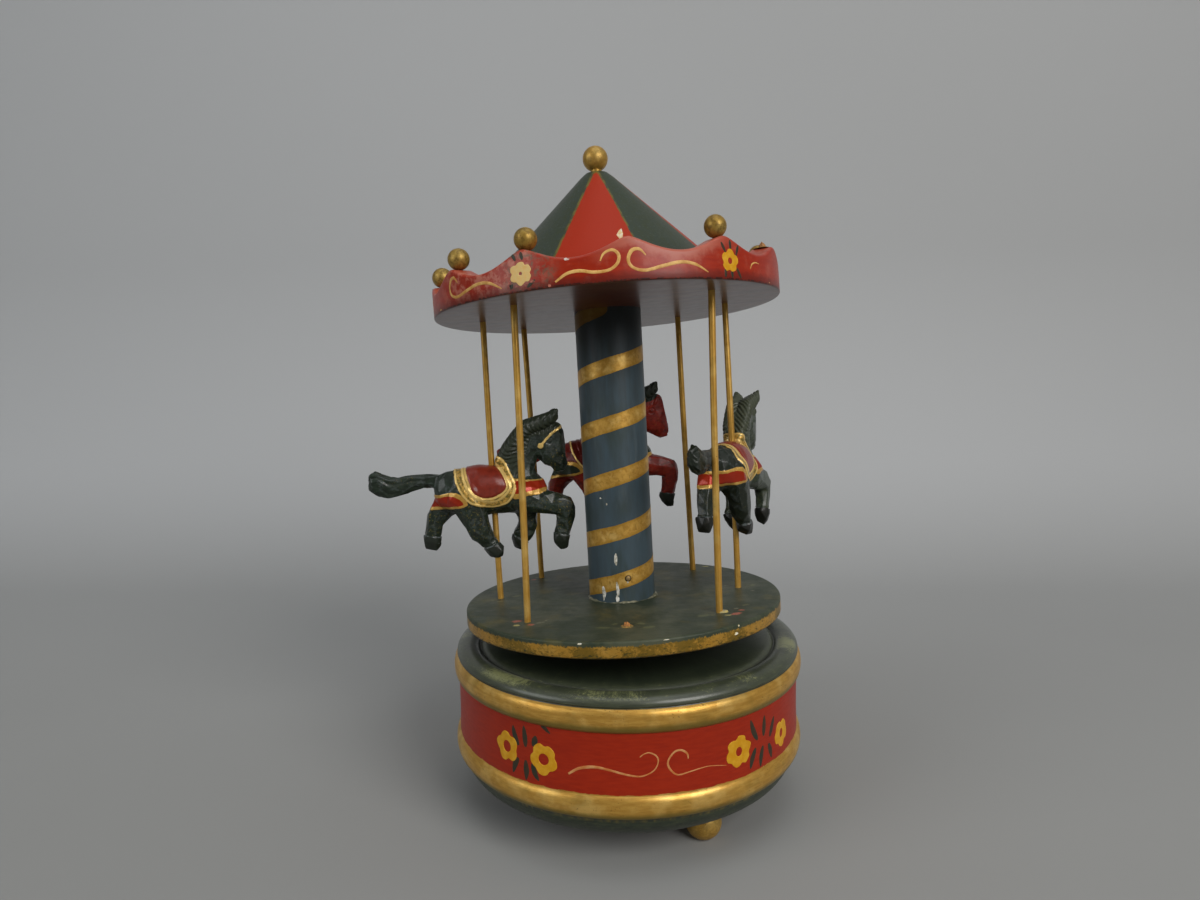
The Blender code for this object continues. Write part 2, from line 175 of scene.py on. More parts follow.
def dress(name, mesh, place, finish, body, stands=()):
    # puts a finished mesh in the scene, on the body that carries it
    keepPlace(mesh, place)
    mesh.materials.append(finish)
    piece = bpy.data.objects.new(name, mesh)
    bpy.context.scene.collection.objects.link(piece)
    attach(piece, body)
    if stands:
        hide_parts(*stands)
    return piece


def makePiece(name, shape, place, finish, body, stands=(), crease=40):
    return dress(name, makeMesh(name, shape, place, crease), place, finish, body, stands)


# Brush marks: thin domed meshes laid on a surface, which turns (across, up, lift) into a place

def sideSurface(angle, radius):
    # an upright round side; across is measured from the angle
    def place(across, up, lift):
        return around(angle + math.degrees(across / radius), radius + lift, up)
    return place


def brushStroke(path, widths, onSurface, thick=0.1):
    line = softCurve(path)
    width = np.interp(np.linspace(0, 1, len(line)), np.linspace(0, 1, len(widths)), widths)
    heading = np.gradient(line, axis=0)
    heading /= np.linalg.norm(heading, axis=1)[:, None]
    offsets = ((-1, -0.05), (-0.8, thick * 0.75), (-0.35, thick), (0.35, thick), (0.8, thick * 0.75),
               (1, -0.05), (0, -0.08))
    loops = []
    for (across, up), (aheadX, aheadY), wide in zip(line, heading, width):
        loops.append([onSurface(across - aheadY * wide / 2 * side, up + aheadX * wide / 2 * side, lift)
                      for side, lift in offsets])
    points, faces = loft(loops)
    return points, [face[::-1] for face in faces]


def dab(centre, outline, onSurface, thick=0.1, hole=None):
    # a blob of paint with the given outline round its centre; a hole leaves a ring with raised lips
    outline = softCurve(outline, 6, closed=True)
    count = len(outline)
    if hole:
        turns = np.arctan2(outline[:, 1], outline[:, 0])
        inner = np.stack([hole[0] * np.cos(turns), hole[1] * np.sin(turns)], axis=1)
        rows = ((0, -0.05), (0.04, thick), (0.16, thick * 1.3), (0.4, thick), (0.75, thick),
                (0.9, thick * 1.25), (0.97, thick * 0.9), (1, -0.05))
    else:
        inner = outline * 0.02
        rows = ((0, thick), (0.4, thick), (0.8, thick), (0.93, thick * 0.85), (1, -0.05), (0.5, -0.08),
                (0, -0.08))
    loops = []
    for share, lift in rows:
        ring = inner + (outline - inner) * share
        loops.append([onSurface(centre[0] + x, centre[1] + y, lift) for x, y in ring])
    if hole:
        points, faces = loft(loops, capEnds=False)
        last = (len(loops) - 1) * count
        faces += [[last + i, last + (i + 1) % count, (i + 1) % count, i] for i in range(count)]
        return points, faces
    return loft(loops)


def lobedOutline(width, height, lobes, turn, depth, rng):
    outline = []
    for step in range(lobes * 4):
        angle = math.tau * step / (lobes * 4)
        reach = 1 - depth * (1 - abs(math.cos(angle * lobes / 2))) + rng.uniform(-0.04, 0.04)
        angle += turn
        outline.append((width / 2 * reach * math.cos(angle), height / 2 * reach * math.sin(angle)))
    return outline


def raggedOutline(width, height, rng, rough=0.3, turn=0.0, corners=9):
    outline = []
    for step in range(corners):
        angle = math.tau * (step + rng.uniform(-0.2, 0.2)) / corners
        reach = 1 - rough * rng.random()
        x, y = width / 2 * reach * math.cos(angle), height / 2 * reach * math.sin(angle)
        outline.append((x * math.cos(turn) - y * math.sin(turn), x * math.sin(turn) + y * math.cos(turn)))
    return outline


# Finishes

def colour(red, green, blue):
    # from screen values of 0 to 255 to Blender's linear ones
    values = [value / 255 for value in (red, green, blue)]
    return tuple(v / 12.92 if v < 0.04045 else ((v + 0.055) / 1.055) ** 2.4 for v in values) + (1,)


class Finish:
    # a painted finish, mixed node by node; each call takes numbers or sockets and gives a socket

    def __init__(self, name, **fixed):
        self.material = bpy.data.materials.new(name)
        self.material.use_nodes = True
        self.tree = self.material.node_tree
        self.shader = self.tree.nodes["Principled BSDF"]
        for key, value in {"Specular IOR Level": 0.25, **fixed}.items():
            self.shader.inputs[key].default_value = value

    def feed(self, socket, value):
        if isinstance(value, bpy.types.NodeSocket):
            self.tree.links.new(value, socket)
        else:
            socket.default_value = value

    def node(self, kind, inputs, output=0, **settings):
        node = self.tree.nodes.new("ShaderNode" + kind)
        for key, value in settings.items():
            setattr(node, key, value)
        for key, value in inputs.items():
            self.feed(node.inputs[key], value)
        return node.outputs[output]

    def calc(self, operation, *values, clamp=False):
        return self.node("Math", dict(enumerate(values)), operation=operation, use_clamp=clamp)

    def times(self, first, second):
        return self.calc("MULTIPLY", first, second)

    def plus(self, first, second):
        return self.calc("ADD", first, second)

    def less(self, first, second):
        return self.calc("SUBTRACT", first, second)

    def most(self, first, second):
        return self.calc("MAXIMUM", first, second)

    def field(self, name):
        return self.node("Attribute", {}, "Fac", attribute_name=name)

    def place(self):
        return self.node("Attribute", {}, "Vector", attribute_name="place")

    def parts(self, vector):
        return [self.node("SeparateXYZ", {0: vector}, i) for i in range(3)]

    def vector(self, x, y, z):
        return self.node("CombineXYZ", {0: x, 1: y, 2: z})

    def scaled(self, vector, scale, offset=(0, 0, 0)):
        return self.node("Mapping", {"Vector": vector, "Scale": scale, "Location": offset})

    def noise(self, vector, scale=1.0, detail=4.0, roughness=0.55, distortion=0.0):
        return self.node("TexNoise", {"Vector": vector, "Scale": scale, "Detail": detail,
                                      "Roughness": roughness, "Distortion": distortion})

    def wobble(self, amount, *noise):
        # noise that goes as far below zero as above it
        return self.times(self.less(self.noise(*noise), 0.5), amount)

    def rise(self, value, low, high):
        # 0 below low, 1 above high, smooth between them
        return self.node("MapRange", {"Value": value, "From Min": low, "From Max": high},
                         interpolation_type="SMOOTHSTEP")

    def within(self, value, low, high, soft=0.1):
        # 1 between low and high, 0 outside them
        return self.times(self.rise(value, low - soft, low + soft),
                          self.rise(self.times(value, -1), -high - soft, -high + soft))

    def mix(self, share, first, second):
        return self.node("Mix", {0: share, 6: first, 7: second}, 2, data_type="RGBA")

    def shades(self, share, first, second):
        # two of the paints, mixed
        return self.mix(share, paint(first), paint(second))

    def over(self, tone, name, share, amount=None):
        # one of the paints laid over a tone, where share is 1
        if amount is not None:
            share = self.times(share, amount)
        return self.mix(share, tone, paint(name))

    def blend(self, share, first, second):
        return self.node("Mix", {0: share, 2: first, 3: second}, 0, data_type="FLOAT")

    def polar(self, vector, turnScale, heightScale):
        # coordinates for streaks that run round an upright turned piece, without a seam
        x, y, z = self.parts(vector)
        radius = self.calc("SQRT", self.plus(self.times(x, x), self.times(y, y)))
        radius = self.most(radius, 0.01)
        turnX = self.times(self.calc("DIVIDE", x, radius), turnScale)
        turnY = self.times(self.calc("DIVIDE", y, radius), turnScale)
        return self.vector(turnX, turnY, self.times(z, heightScale)), radius, z

    def done(self, base, roughness=None, metallic=None, height=None, depth=0.05):
        self.feed(self.shader.inputs["Base Color"], base)
        if roughness is not None:
            self.feed(self.shader.inputs["Roughness"], roughness)
        if metallic is not None:
            self.feed(self.shader.inputs["Metallic"], metallic)
        if height is not None:
            bump = self.node("Bump", {"Height": height, "Strength": 1.0, "Distance": depth * mm})
            self.tree.links.new(bump, self.shader.inputs["Normal"])
        return self.material


paints = {
    "red": (160, 40, 10), "redShade": (146, 33, 8), "roofRed": (158, 41, 12), "rimRed": (160, 42, 12),
    "green": (54, 61, 43), "greenShade": (30, 38, 28), "greenPale": (118, 122, 74), "roofGreen": (53, 62, 53),
    "tableGreen": (60, 67, 50), "tableShade": (46, 55, 42), "tableWorn": (88, 90, 70),
    "horseGreen": (34, 46, 34), "horseShade": (20, 26, 18),
    "slate": (62, 72, 76), "slateBlue": (66, 82, 90), "slatePale": (100, 108, 108),
    "gold": (206, 161, 76), "goldShade": (182, 136, 58), "goldPale": (236, 200, 120), "goldPit": (84, 60, 24),
    "olive": (110, 98, 42), "edgeGold": (172, 126, 40), "edgeOlive": (92, 78, 24),
    "rubbedGreen": (136, 138, 92), "saddleRed": (134, 46, 30), "saddleDark": (88, 26, 18),
    "backRed": (128, 32, 20), "backDark": (84, 20, 14),
    "flower": (204, 144, 16), "flowerPale": (216, 162, 40), "flowerWorn": (222, 190, 122),
    "scroll": (226, 182, 108), "ochre": (192, 138, 66), "peach": (188, 112, 56), "peachPale": (206, 150, 96),
    "leaf": (44, 50, 38), "leafWash": (66, 48, 32), "chalk": (236, 234, 224), "varnish": (74, 24, 18),
    "wood": (176, 128, 80), "woodShade": (122, 80, 46), "freshWood": (206, 140, 74), "soot": (26, 22, 18),
    "glue": (150, 144, 120), "pink": (186, 112, 92), "pinkRed": (146, 66, 44), "cream": (206, 186, 112),
}


def paint(name):
    return colour(*paints[name])


def goldMix(f, streaks, place):
    # bronze paint: streaky from the brush, with dark pits where it has rubbed through
    tone = f.shades(f.rise(f.noise(streaks, 1.0, 3), 0.25, 0.75), "goldShade", "gold")
    pale = f.times(f.rise(f.noise(place, 0.11, 3), 0.45, 0.7), 0.45)
    tone = f.over(tone, "goldPale", pale)
    tone = f.over(tone, "olive", f.rise(f.noise(place, 0.14, 2), 0.5, 0.75), 0.3)
    grain = f.times(f.rise(f.noise(place, 3.6, 2), 0.5, 0.72), 0.35)
    tone = f.over(tone, "goldShade", grain)
    pits = f.rise(f.plus(f.noise(place, 1.7, 3), f.times(f.noise(place, 0.09, 2), 0.3)), 0.84, 0.9)
    tone = f.over(tone, "goldPit", pits, 0.75)
    rough = f.blend(f.noise(place, 0.5, 4), 0.28, 0.42)
    return tone, rough


def redMix(f, streaks, place, bright="red", shade="redShade"):
    tone = f.shades(f.rise(f.noise(streaks, 1.0, 4, 0.5), 0.25, 0.75), shade, bright)
    tone = f.over(tone, "roofRed", f.rise(f.noise(place, 0.08, 3), 0.45, 0.75), 0.4)
    marks = f.rise(f.noise(place, 1.8, 3), 0.71, 0.76)
    tone = f.over(tone, "soot", marks, 0.5)
    rough = f.blend(f.noise(place, 0.8, 5), 0.3, 0.48)
    return tone, rough


def greenMix(f, streaks, place, bright="green", shade="greenShade", worn="greenPale"):
    tone = f.shades(f.rise(f.noise(streaks, 1.0, 6, 0.6), 0.3, 0.68), shade, bright)
    rubbed = f.times(f.rise(f.noise(streaks, 2.6, 5), 0.58, 0.72), 0.35)
    tone = f.over(tone, worn, rubbed)
    specks = f.rise(f.noise(place, 2.0, 3), 0.69, 0.75)
    tone = f.over(tone, worn, specks, 0.55)
    rough = f.blend(f.noise(place, 1.1, 5), 0.27, 0.5)
    return tone, rough


def brushHeight(f, streaks, place):
    return f.plus(f.times(f.noise(streaks, 2.2, 4), 0.7), f.times(f.noise(place, 1.3, 4), 0.3))


def goldPaint(name, streak=(1, 1, 1), dull=0.0):
    f = Finish(name, Metallic=0.42)
    place = f.place()
    streaks = f.scaled(place, streak)
    tone, rough = goldMix(f, streaks, place)
    tone = f.over(tone, "olive", dull)
    stains = f.rise(f.noise(place, 0.5, 5, 0.7), 0.46, 0.6)
    tone = f.over(tone, "goldPit", f.times(stains, dull))
    return f.done(tone, f.plus(rough, dull * 0.12), height=f.noise(streaks, 1.6, 3), depth=0.03)


def plainPaint(name, main, other, rough=0.45, scale=0.8, depth=0.05):
    # a small dab of one colour, thinner in some places than in others
    f = Finish(name)
    place = f.place()
    cloud = f.noise(place, scale, 5)
    tone = f.shades(f.rise(cloud, 0.35, 0.7), main, other)
    return f.done(tone, f.blend(cloud, rough - 0.1, rough + 0.15), height=f.noise(place, 2.5, 4), depth=depth)


def bareWood(name, along, main="wood"):
    # grain runs along the axis whose scale is smallest
    f = Finish(name)
    place = f.place()
    grain = f.noise(f.scaled(place, along), 1.0, 6, 0.6, 0.4)
    tone = f.shades(f.rise(grain, 0.3, 0.7), "woodShade", main)
    return f.done(tone, f.blend(grain, 0.6, 0.8), height=grain, depth=0.08)


print("the camera and the studio")

view = {"eye": (0.01064, -0.34412, 0.17116), "yaw": -0.0603, "pitch": 0.1009, "roll": -0.0185,
        "lens": 24.0, "sensor": 36.0}


def setCamera():
    yaw, pitch, roll = view["yaw"], view["pitch"], view["roll"]
    ahead = Vector((math.sin(yaw) * math.cos(pitch), math.cos(yaw) * math.cos(pitch), -math.sin(pitch)))
    level = Vector((math.cos(yaw), -math.sin(yaw), 0))
    above = level.cross(ahead)
    right = level * math.cos(roll) + above * math.sin(roll)
    up = above * math.cos(roll) - level * math.sin(roll)
    data = bpy.data.cameras.new("photo_view")
    data.lens = view["lens"]
    data.sensor_width = view["sensor"]
    data.clip_start = 0.01
    camera = bpy.data.objects.new("photo_view", data)
    camera.matrix_world = Matrix.Translation(view["eye"]) @ Matrix((right, up, -ahead)).transposed().to_4x4()
    bpy.context.scene.collection.objects.link(camera)
    bpy.context.scene.camera = camera


# the floor and the wall are one paper, painted darker on the floor and lighter on the wall: painted light and
# shade
studio = {"floor": -0.0127, "width": 5.0, "front": -1.6, "bend": 0.30, "back": 0.62, "height": 2.4,
          "floorPaperShaded": (142, 142, 139), "wallPaperLit": (181, 182, 182),
          "roomLow": (0.04, 0.04, 0.045), "roomHigh": (0.66, 0.68, 0.72), "roomStrength": 0.4}

# name: place, aim, size, watts, colour
lamps = {
    "window": ((0.85, -1.0, 0.85), (0, 0.1, 0.1), 0.9, 14.8, (1.0, 0.98, 0.96)),
    "ceiling": ((0.1, -0.2, 1.5), (0, 0.1, 0.1), 1.2, 4.5, (0.96, 0.98, 1.0)),
    "fill": ((-1.2, -0.8, 0.7), (0, 0.1, 0.1), 1.0, 7.2, (0.95, 0.98, 1.0)),
}


def makeStudio():
    low, steps = studio["floor"], 24
    run = [(studio["front"], low)]
    radius = studio["back"] - studio["bend"]
    for i in range(steps + 1):
        turn = math.pi / 2 * i / steps
        run.append((studio["bend"] + radius * math.sin(turn), low + radius * (1 - math.cos(turn))))
    run.append((studio["back"], low + studio["height"]))
    mesh = bpy.data.meshes.new("paper_sweep")
    half = studio["width"] / 2
    points = [(side * half, y, z) for y, z in run for side in (-1, 1)]
    faces = [(2 * i, 2 * i + 1, 2 * i + 3, 2 * i + 2) for i in range(len(run) - 1)]
    mesh.from_pydata(points, [], faces)
    mesh.shade_smooth()
    keepPlace(mesh, drumFrame)
    f = Finish("paper", Roughness=0.85)
    place = f.place()
    x, y, z = f.parts(place)
    # painted light: the paper turns to the wall's lighter tone up the bend, and is painted a little darker
    # towards the upper right
    litShare = f.rise(f.plus(y, f.times(z, 4)), -220, 860)
    litShare = f.less(litShare, f.times(f.rise(f.plus(x, z), 150, 900), 0.22))
    tone = f.mix(litShare, colour(*studio["floorPaperShaded"]), colour(*studio["wallPaperLit"]))
    tone = f.mix(f.times(f.noise(place, 0.004, 3), 0.12), tone, colour(*studio["wallPaperLit"]))
    mesh.materials.append(f.done(tone))
    sweep = bpy.data.objects.new("paper_sweep", mesh)
    bpy.context.scene.collection.objects.link(sweep)
    for name, (spot, aim, size, watts, tint) in lamps.items():
        data = bpy.data.lights.new(name, "AREA")
        data.shape = "DISK"
        data.size = size
        data.energy = watts
        data.color = tint
        lamp = bpy.data.objects.new(name, data)
        lamp.location = spot
        lamp.rotation_euler = (Vector(aim) - Vector(spot)).to_track_quat("-Z", "Y").to_euler()
        bpy.context.scene.collection.objects.link(lamp)
    # the room is bright above and dim in front, where the reflections on the red come from
    world = bpy.data.worlds.new("room")
    world.use_nodes = True
    tree = world.node_tree
    ahead = tree.nodes.new("ShaderNodeTexCoord").outputs["Generated"]
    height = tree.nodes.new("ShaderNodeVectorMath")
    height.operation = "DOT_PRODUCT"
    height.inputs[1].default_value = (0.15, 0.3, 0.9)
    share = tree.nodes.new("ShaderNodeMapRange")
    share.interpolation_type = "SMOOTHSTEP"
    share.inputs["From Min"].default_value = -0.2
    share.inputs["From Max"].default_value = 0.75
    tone = tree.nodes.new("ShaderNodeMix")
    tone.data_type = "RGBA"
    tone.inputs[6].default_value = (*studio["roomLow"], 1)
    tone.inputs[7].default_value = (*studio["roomHigh"], 1)
    sky = tree.nodes["Background"]
    sky.inputs["Strength"].default_value = studio["roomStrength"]
    tree.links.new(ahead, height.inputs[0])
    tree.links.new(height.outputs["Value"], share.inputs["Value"])
    tree.links.new(share.outputs["Result"], tone.inputs[0])
    tree.links.new(tone.outputs[2], sky.inputs["Color"])
    bpy.context.scene.world = world
    bpy.context.scene.view_settings.view_transform = "Standard"


setCamera()
makeStudio()

print("the drum and its feet")

drum = {"top": 57.0, "upperBead": (51.7, 42.9), "lowerBead": (19.7, 10.5),
        "beadRadius": 75.0, "bandRadius": 73.1, "groove": (63.6, 53.9), "underside": 60.0,
        "hole": (3.8, 4.4), "holeFloor": 44.4, "plateRadius": 44.0, "plateThickness": 3.7, "steps": 288}
feet = {"radius": 7.2, "circle": 53.5, "angles": (34.8, 154.8, -85.2), "drop": 6.1, "flat": 0.6}


def bandRadius(height):
    # the painted band is a little hollow
    lower, upper = drum["lowerBead"][0], drum["upperBead"][1]
    middle = (lower + upper) / 2
    share = (middle - height) / (middle - lower)
    return drum["bandRadius"] + (0.35 if share > 0 else 0.1) * share ** 2


def drumProfile():
    top, (groove, floor) = drum["top"], drum["groove"]
    upper, lower = drum["upperBead"], drum["lowerBead"]
    hole, mouth = drum["hole"]
    profile = [(0, drum["holeFloor"]), (hole, drum["holeFloor"]), (mouth, top - 0.3), (mouth + 0.4, top),
               (25, top - 0.15), (45, top - 0.4), (54, top - 0.8), (groove - 2.6, top - 1.3)]
    profile += [(groove - 1.4, floor + 1.3), (groove - 0.5, floor + 0.5), (groove - 0.1, floor),
                (groove + 0.3, floor)]
    profile += arc((68.7, 52.7), 3.5, 156, 4, 22, squash=1.42)
    profile += [(73.7, 52.6), (73.2, 52.0)]
    profile += arc((73.0, sum(upper) / 2), (upper[0] - upper[1]) / 2, 76, -76, 18,
                   squash=(drum["beadRadius"] - 73.0) / 4.4)
    profile += [(bandRadius(42.7) - 0.1, 42.6)]
    profile += [(bandRadius(height), height) for height in (42, 40, 37, 34, 31.3, 28.5, 25.5, 22.5, 20.6)]
    profile += [(bandRadius(20) - 0.1, 20.0)]
    profile += arc((72.6, sum(lower) / 2), (lower[0] - lower[1]) / 2, 70, -84, 18,
                   squash=(drum["beadRadius"] - 72.6) / 4.6)
    profile += arc((drum["underside"], lower[1]), lower[1], -6, -90, 16,
                   squash=(72.0 - drum["underside"]) / lower[1])
    recess, depth = drum["plateRadius"] + 0.3, drum["plateThickness"] + 0.3
    return profile + [(recess + 0.3, 0), (recess, 0.3), (recess, depth), (0, depth)]


def drumPaint():
    f = Finish("drum_paint", **{"Coat Roughness": 0.22})
    place = f.place()
    streaks, radius, z = f.polar(place, 13, 1.1)
    wavy, _, _ = f.polar(place, 16, 0)
    edge = f.plus(z, f.wobble(1.3, wavy, 1.0, 3))
    green, greenRough = greenMix(f, streaks, place)
    # the shoulder is rubbed pale in clouds of specks, mostly along its crest
    x, y, _ = f.parts(place)
    turn = f.calc("ARCTAN2", x, f.times(y, -1))
    clouds = f.noise(f.scaled(place, (0.05, 0.05, 0.1)), 1.0, 3)
    clouds = f.plus(clouds, f.times(f.calc("COSINE", f.times(turn, 9)), 0.08))
    specks = f.noise(f.polar(place, 90, 2.8)[0], 1.0, 6, 0.85)
    rubbed = f.plus(clouds, specks)
    crest = f.times(f.rise(z, 54, 55.6), f.rise(radius, 62, 65))
    rubbed = f.times(f.rise(rubbed, 1.04, 1.16), crest)
    # the shoulder's upper side is painted a little paler: painted light
    green = f.over(green, "tableWorn", f.rise(z, 51, 54), 0.25)
    green = f.over(green, "rubbedGreen", rubbed, 0.7)
    red, redRough = redMix(f, streaks, place)
    gold, goldRough = goldMix(f, streaks, place)
    # the middle of the top, under the turntable, is painted darker, and the groove round it dark: painted
    # shade
    groove = drum["groove"][0]
    inner = f.rise(f.times(radius, -1), -groove - 0.2, -groove + 6)
    green = f.over(green, "greenShade", f.times(f.times(inner, 0.7), f.rise(z, 50, 53)))
    green = f.over(green, "soot", f.within(radius, groove - 0.5, groove + 0.5, 0.25), 0.4)
    upper, lower = drum["upperBead"], drum["lowerBead"]
    onBand = f.within(edge, lower[0], upper[1])
    fringe = f.within(edge, lower[1] - 1.6, lower[1] + 0.5, 0.6)
    onGold = f.most(f.within(z, upper[1], upper[0], 0.15), f.within(edge, lower[1], lower[0] + 0.1))
    tone = f.mix(onBand, green, red)
    tone = f.over(tone, "olive", f.times(fringe, f.rise(f.noise(wavy, 3, 4), 0.4, 0.7)))
    # a darker line where the brush turned over the upper bead, and each bead's lower part painted darker
    # olive: painted shade
    seamLine = f.within(edge, upper[0] - 2.9, upper[0] - 2.3, 0.35)
    gold = f.over(gold, "goldShade", seamLine, 0.5)
    dull = f.most(f.within(edge, upper[1] - 1, upper[1] + 2.9, 1.1),
                  f.within(edge, lower[1] - 1, lower[1] + 2.4, 1.1))
    gold = f.over(gold, "olive", dull, 0.75)
    tone = f.mix(onGold, tone, gold)
    rough = f.blend(onGold, f.blend(onBand, greenRough, redRough), goldRough)
    # the shoulder is polished by hands, and the beads are pitted here and there
    polished = f.times(f.rise(z, 51, 53), f.rise(radius, groove - 0.5, groove + 1.5))
    f.feed(f.shader.inputs["Coat Weight"], f.times(polished, f.blend(f.noise(place, 0.3, 4), 0.1, 0.55)))
    pits = f.times(f.rise(f.noise(place, 0.85, 5, 0.75), 0.63, 0.68), onGold)
    tone = f.over(tone, "goldPit", pits, 0.6)
    f.feed(f.shader.inputs["Specular IOR Level"], f.blend(f.most(onBand, onGold), 0.5, 0.25))
    height = f.less(f.noise(streaks, 2.0, 3), f.times(pits, 3))
    return f.done(tone, rough, f.times(onGold, 0.52), height, 0.025)


def makeDrum():
    makePiece("turned_drum", turned(drumProfile(), drum["steps"]), drumFrame, drumPaint(), "base",
              ["base_drum"])
    radius, thick = drum["plateRadius"], drum["plateThickness"]
    plate = [(0, thick), (radius, thick), (radius, 0.4), (radius - 0.4, 0), (0, 0)]
    makePiece("plywood_plate", turned(plate, 120), drumFrame, bareWood("plate_wood", (0.09, 1.4, 1)), "base",
              ["base_plate"])
    gold = goldPaint("foot_gold", (0.7, 0.7, 1.4), 0.25)
    for number, angle in enumerate(feet["angles"], 1):
        radius, seat = feet["radius"], feet["drop"] + 0.15
        start = math.degrees(math.asin(seat / radius))
        low = -math.degrees(math.asin((radius - feet["flat"]) / radius))
        ball = [(0, seat)] + arc((0, 0), radius, start, low, 28) + [(0, -(radius - feet["flat"]))]
        x, y, z = around(angle, feet["circle"], -feet["drop"])
        makePiece(f"ball_foot_{number}", turned(ball, 56), drumFrame @ shifted(x, y, z), gold, "base",
                  [f"foot_{number}"])


makeDrum()

print("the flowers and scrolls on the band")

# Places on the band are millimetres across from the motif's middle and up from the drum's underside.
# A flower is its middle, its size, its dot's size, its lobes and its turn.
bandClusters = {
    "left": {
        "flowers": (((-9.0, 30.8), (11.4, 11.8), (1.9, 2.2), 5, 0.5),
                    ((8.2, 30.0), (11.8, 12.2), (2.1, 2.1), 5, -0.3)),
        "leaves": (((-5.5, 39.9), (-4.8, 36.4), (-3.0, 32.8)), ((-0.3, 41.0), (0.1, 37.0), (0.3, 33.0)),
                   ((5.0, 38.3), (4.6, 36.4), (3.7, 34.0)), ((-5.9, 21.6), (-4.9, 25.0), (-3.2, 27.8)),
                   ((0.4, 20.4), (0.5, 24.0), (0.2, 27.8)), ((6.0, 21.4), (4.3, 24.0), (3.2, 27.3))),
        "slip": ((7.2, 43.4), (9.0, 42.0), (11.2, 40.3)),
    },
    "right": {
        "flowers": (((-12.5, 29.8), (12.4, 12.2), (1.4, 1.7), 6, 0.2),
                    ((14.3, 28.3), (11.0, 11.0), (1.2, 1.7), 5, 0.9)),
        "leaves": (((-6.6, 40.2), (-5.0, 35.6), (-2.6, 31.4)), ((1.5, 39.6), (1.4, 35.8), (1.1, 31.8)),
                   ((8.2, 37.2), (6.8, 33.6), (5.3, 30.0)), ((-6.8, 21.4), (-5.6, 25.0), (-3.6, 28.6)),
                   ((-1.1, 20.4), (-0.5, 24.2), (0.7, 28.0)), ((6.2, 21.4), (5.6, 24.4), (4.4, 27.6))),
    },
}
bandScrolls = (
    (((-34.3, 26.4), (-30.1, 29.0), (-24.6, 30.0), (-19.3, 29.2), (-12.7, 27.5), (-8.4, 26.9), (-5.2, 27.7),
      (-2.8, 29.4), (-1.7, 32.1), (-2.4, 34.2), (-4.7, 35.5), (-6.7, 35.2), (-8.3, 34.0)),
     (0.9, 1.3, 0.95, 0.7, 0.55, 0.5, 0.65, 0.5, 0.35)),
    (((9.4, 31.9), (9.0, 33.8), (6.9, 35.4), (4.5, 35.2), (2.4, 33.0), (1.8, 30.6), (3.2, 28.0), (5.6, 26.4),
      (9.8, 26.9), (14.5, 27.5), (18.6, 27.5), (25.0, 26.2)),
     (0.5, 0.9, 0.8, 0.75, 0.9, 0.65, 0.5, 0.35, 0.25)),
)
# A cluster is its motif and the angle of its middle; the two that the photo shows come first.
# A pair of scrolls is the angle of its middle, its size, and 1 where only its right half was painted.
bandLayout = {"clusters": (("left", -29.6), ("right", 45.6), ("left", 117.5), ("right", 188.5),
                           ("left", 259.0)),
              "scrolls": ((11.5, 1.0, 0), (84.5, 0.8, 1), (154.0, 0.82, 0), (225.0, 0.82, 0))}


def bandSurface(angle, size=1.0):
    def place(across, up, lift):
        return around(angle + math.degrees(across * size / drum["bandRadius"]), bandRadius(up) + lift, up)
    return place


def makeBandMotifs():
    rng = random.Random(11)
    blooms, leaves, scrolls = [], [], []
    for kind, angle in bandLayout["clusters"]:
        cluster, onSurface = bandClusters[kind], bandSurface(angle)
        for middle, size, dot, lobes, turn in cluster["flowers"]:
            outline = lobedOutline(*size, lobes, turn + rng.uniform(-0.1, 0.1), 0.17, rng)
            blooms.append(dab(middle, outline, onSurface, 0.11, hole=dot))
        for path in cluster["leaves"]:
            widths = (0.4, 2.0, 2.9 + rng.uniform(-0.3, 0.3), 2.4, 1.0)
            leaves.append(brushStroke(path, widths, onSurface, 0.04))
        if "slip" in cluster:
            leaves.append(brushStroke(cluster["slip"], (0.4, 1.8, 1.5, 0.3), onSurface, 0.05))
    for angle, size, first in bandLayout["scrolls"]:
        for path, widths in bandScrolls[first:]:
            scrolls.append(brushStroke(path, widths, bandSurface(angle, size), 0.06))
    makePiece("band_flowers", joined(blooms), drumFrame,
              plainPaint("flower_yellow", "flower", "flowerPale", 0.4, 0.35), "base")
    makePiece("band_leaves", joined(leaves), drumFrame,
              plainPaint("leaf_wash", "leaf", "leafWash", 0.45, 0.35), "base")
    makePiece("band_scrolls", joined(scrolls), drumFrame,
              plainPaint("scroll_peach", "peach", "peachPale", 0.4, 0.3), "base")


makeBandMotifs()

print("the turntable's platform")

table = {"top": 18.0, "thickness": 6.4, "radius": 68.0, "edge": 0.8, "steps": 288,
         "hole": (3.8, 48.8), "holeRadius": 1.75, "holeDepth": 3.5, "stubProud": 1.6,
         "spindle": 3.0, "spindleDepth": 9.0, "collar": (9.0, 5.0)}
rods = {
    # angle and radius of the foot, how far the top leans out, and a slight bow
    "radius": 1.35, "seat": 3.2, "length": 124.0,
    "rod_2": ((49.2, 52.2), (2.5, 0.4), 0.3), "rod_3": ((95.8, 51.5), (-0.25, 2.6), -0.25),
    "rod_4": ((142.9, 55.5), (-1.7, -1.2), 0.2), "rod_5": ((188.0, 53.0), (0.0, 0.0), 0.15),
    "rod_6": ((225.9, 57.4), (-1.5, 0.0), -0.2), "rod_7": ((268.0, 54.6), (-0.25, 0.0), 0.25),
    "rod_8": ((316.0, 52.6), (2.3, -1.4), -0.2),
}
rodNames = [name for name in rods if name.startswith("rod_")]

# what was spilt on the platform, and a painted shadow just behind the broken dowel: the two paints of each
# smear and how much of it covers the green
smearPaints = {"dust": ("tableWorn", "greenPale", 0.55), "glue": ("glue", "tableWorn", 0.75),
               "pink": ("pinkRed", "pink", 0.85), "cream": ("cream", "greenPale", 0.9),
               "dark": ("soot", "goldPit", 0.8)}
